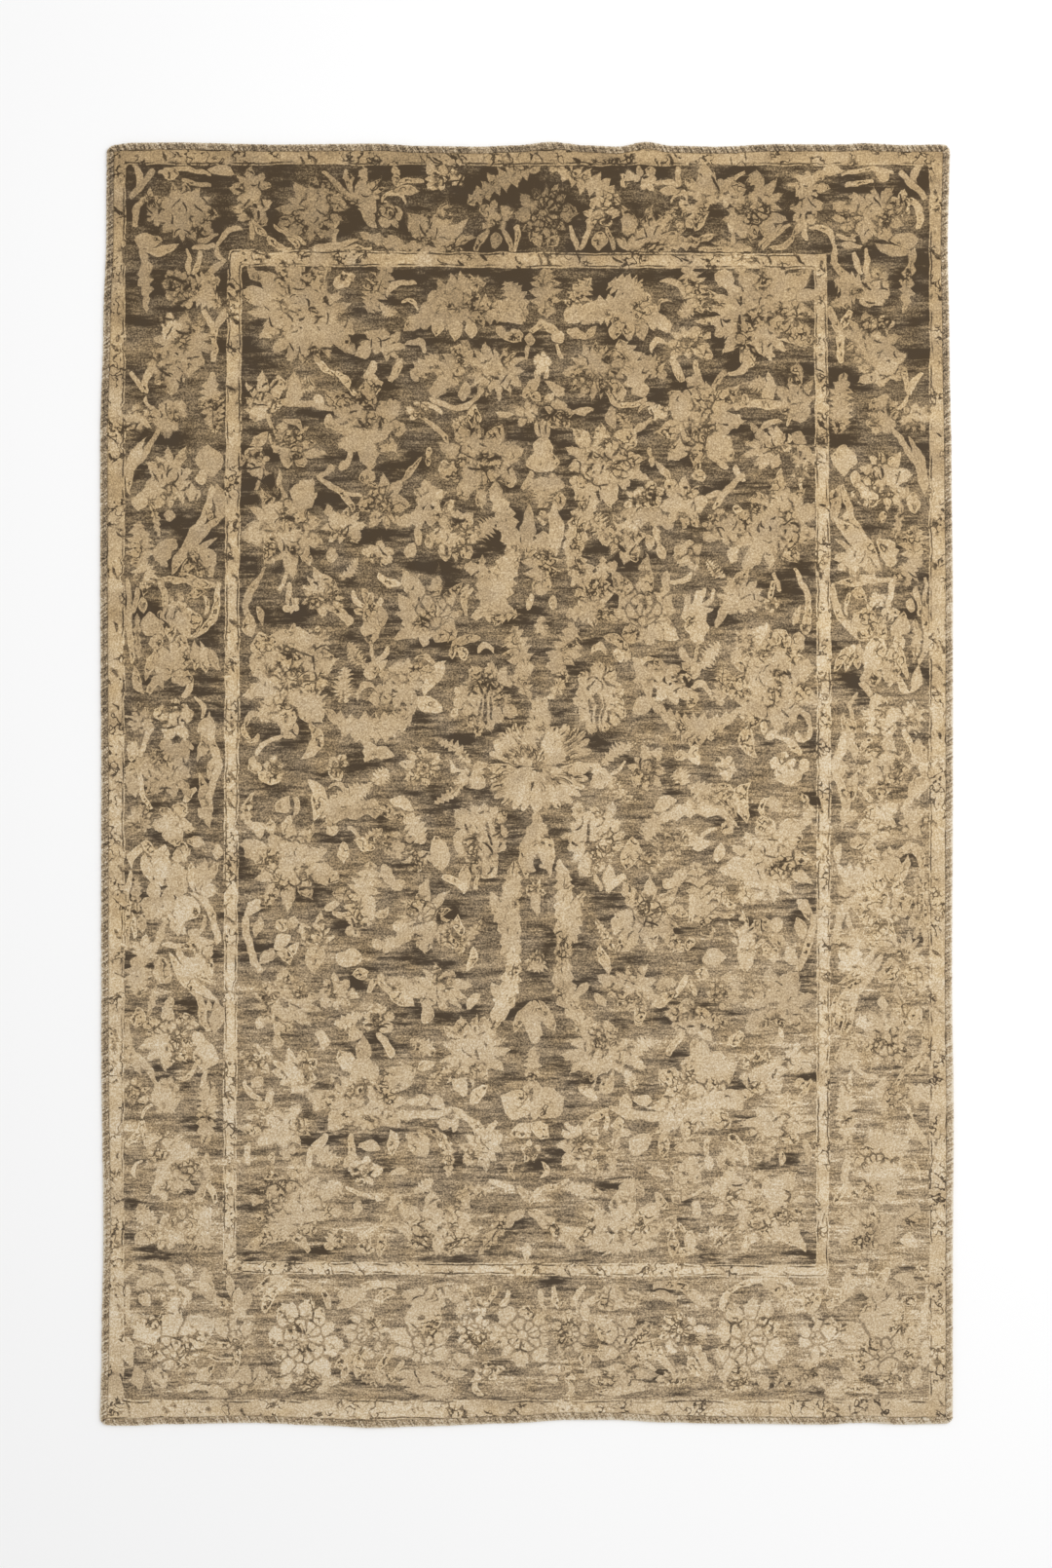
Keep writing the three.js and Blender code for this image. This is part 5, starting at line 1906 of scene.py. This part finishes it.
def yarn_material():
    """Overcast wool yarn: matt and hairy, dyed unevenly along its length, and painted darker along the
    pile as shade.
    """
    material, tree, shader = new_wool("overcast_wool_yarn")
    place = add_node(tree, "ShaderNodeTexCoord").outputs["Object"]
    yarn = add_node(tree, "ShaderNodeAttribute", {"attribute_name": "yarn"})
    parts = add_node(tree, "ShaderNodeSeparateXYZ", None, {0: yarn.outputs["Vector"]}).outputs
    known = dict(zip(("out", "tint", "fade"), parts))
    for name, size, detail, roughness in YARN_SPOTS:
        settings = {"Vector": place, "Scale": 1 / (size * MM), "Detail": detail, "Roughness": roughness}
        known[name] = add_node(tree, "ShaderNodeTexNoise", None, settings).outputs["Fac"]
    add_steps(tree, known, EDGING_STEPS)
    tree.links.new(dyed(tree, known["shade"]), shader.inputs["Base Color"])
    bump = add_node(tree, "ShaderNodeBump", None,
                    {"Height": known["fleck"], "Strength": FLECK_STRENGTH, "Distance": FLECK_DEPTH})
    tree.links.new(bump.outputs["Normal"], shader.inputs["Normal"])
    return material


def make_edging(side, turn, material, rng):
    """Overcasts one side: turns of yarn in a row, fanned out round its two corners."""
    half_run, inner, quarter_turns = EDGINGS[side]
    inner_end = half_run - EDGING_WIDTH
    outer_end = inner_end + EDGING_WIDTH * math.pi / 4 - MITRE_GAP / 2
    count = round((2 * outer_end - YARN_WIDTH) / YARN_PITCH)
    pitch = (2 * outer_end - YARN_WIDTH) / (count - 1)
    row = add_object("row", turn)
    array = row.modifiers.new("array", "ARRAY")
    array.count = count
    array.use_relative_offset = False
    array.use_constant_offset = True
    array.constant_offset_displace = (pitch, 0, 0)
    mesh = bpy.data.meshes.new_from_object(row.evaluated_get(bpy.context.evaluated_depsgraph_get()))
    bpy.data.objects.remove(row)

    places = read(mesh.vertices, "co", 3).reshape(count, -1, 3)
    tints = rng.uniform(*TURN_TINT, (count, 1))
    shifts = rng.uniform(*TURN_SHIFT, (count, 1)) * MM
    along = places[..., 0] + YARN_WIDTH / 2 - outer_end + shifts
    out_share = places[..., 1] / EDGING_WIDTH
    out = places[..., 1] + out_share * rng.uniform(*TURN_OUT, (count, 1)) * MM
    height = places[..., 2] * rng.uniform(*TURN_HEIGHT, (count, 1))
    along = np.clip(along, -outer_end, outer_end)
    beyond = np.maximum(np.abs(along) - inner_end, 0) / EDGING_WIDTH
    u = np.sign(along) * (np.minimum(np.abs(along), inner_end) + out * np.sin(beyond))
    v = inner + out * np.cos(beyond)
    for _ in range(quarter_turns):
        u, v = v, -u
    x, y = place_on_rug(u, v)
    mesh.vertices.foreach_set("co", np.stack([x, y, height], axis=-1).ravel())
    mesh.update()
    tints = np.broadcast_to(tints, out.shape)
    fades = np.maximum(fade_at(np.stack([x, y], axis=-1)), EDGING_FADED)
    store(mesh, "yarn", "FLOAT_VECTOR", "POINT", np.stack([out_share, tints, fades], axis=-1))
    mesh.materials.clear()
    mesh.materials.append(material)
    edging = add_object(f"overcast_{side}", mesh)
    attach(edging, "root")
    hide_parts(f"edging_{side}")


def make_camera():
    """A camera straight above the rug, framed as the photograph is."""
    data = bpy.data.cameras.new("camera")
    data.sensor_width = SENSOR_WIDTH_MM
    data.lens = data.sensor_width * CAMERA_HEIGHT / (CHART_HEIGHT * KNOT)
    data.clip_end = CAMERA_REACH
    camera = add_object("camera", data)
    camera.location = (
        (CHART_WIDTH / 2 - RUG_MIDDLE[0]) * KNOT,
        (RUG_MIDDLE[1] - CHART_HEIGHT / 2) * KNOT,
        CAMERA_HEIGHT,
    )
    bpy.context.scene.camera = camera


def make_studio():
    """A plain white floor under plain soft light."""
    bm = bmesh.new()
    bmesh.ops.create_grid(bm, x_segments=1, y_segments=1, size=FLOOR_HALF)
    mesh = finished_mesh(bm, "floor")
    floor = add_object("floor", mesh)
    material = bpy.data.materials.new("white_floor")
    material.use_nodes = True
    shader = material.node_tree.nodes["Principled BSDF"]
    shader.inputs["Base Color"].default_value = (FLOOR_SHADE, FLOOR_SHADE, FLOOR_SHADE, 1)
    shader.inputs["Roughness"].default_value = FLOOR_ROUGHNESS
    mesh.materials.append(material)

    world = bpy.data.worlds.new("studio")
    bpy.context.scene.world = world
    world.use_nodes = True
    background = world.node_tree.nodes["Background"]
    background.inputs["Color"].default_value = (1, 1, 1, 1)
    background.inputs["Strength"].default_value = ROOM_LIGHT

    light = bpy.data.lights.new("softbox", "AREA")
    light.shape = "RECTANGLE"
    light.size = SOFTBOX_SIZE
    light.size_y = SOFTBOX_SIZE
    light.energy = SOFTBOX_POWER
    lamp = add_object("softbox", light)
    lamp.location = SOFTBOX_PLACE
    lamp.rotation_euler = [math.radians(turn) for turn in SOFTBOX_TURN]


bpy.context.scene.view_settings.view_transform = "Standard"
make_camera()
make_studio()
pile = make_pile()
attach(pile, "root")
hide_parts("rug_pile")

edging_rng = np.random.default_rng(EDGING_SEED)
turn = yarn_turn()
yarn = yarn_material()
for side in EDGINGS:
    make_edging(side, turn, yarn, edging_rng)
bpy.data.meshes.remove(turn)
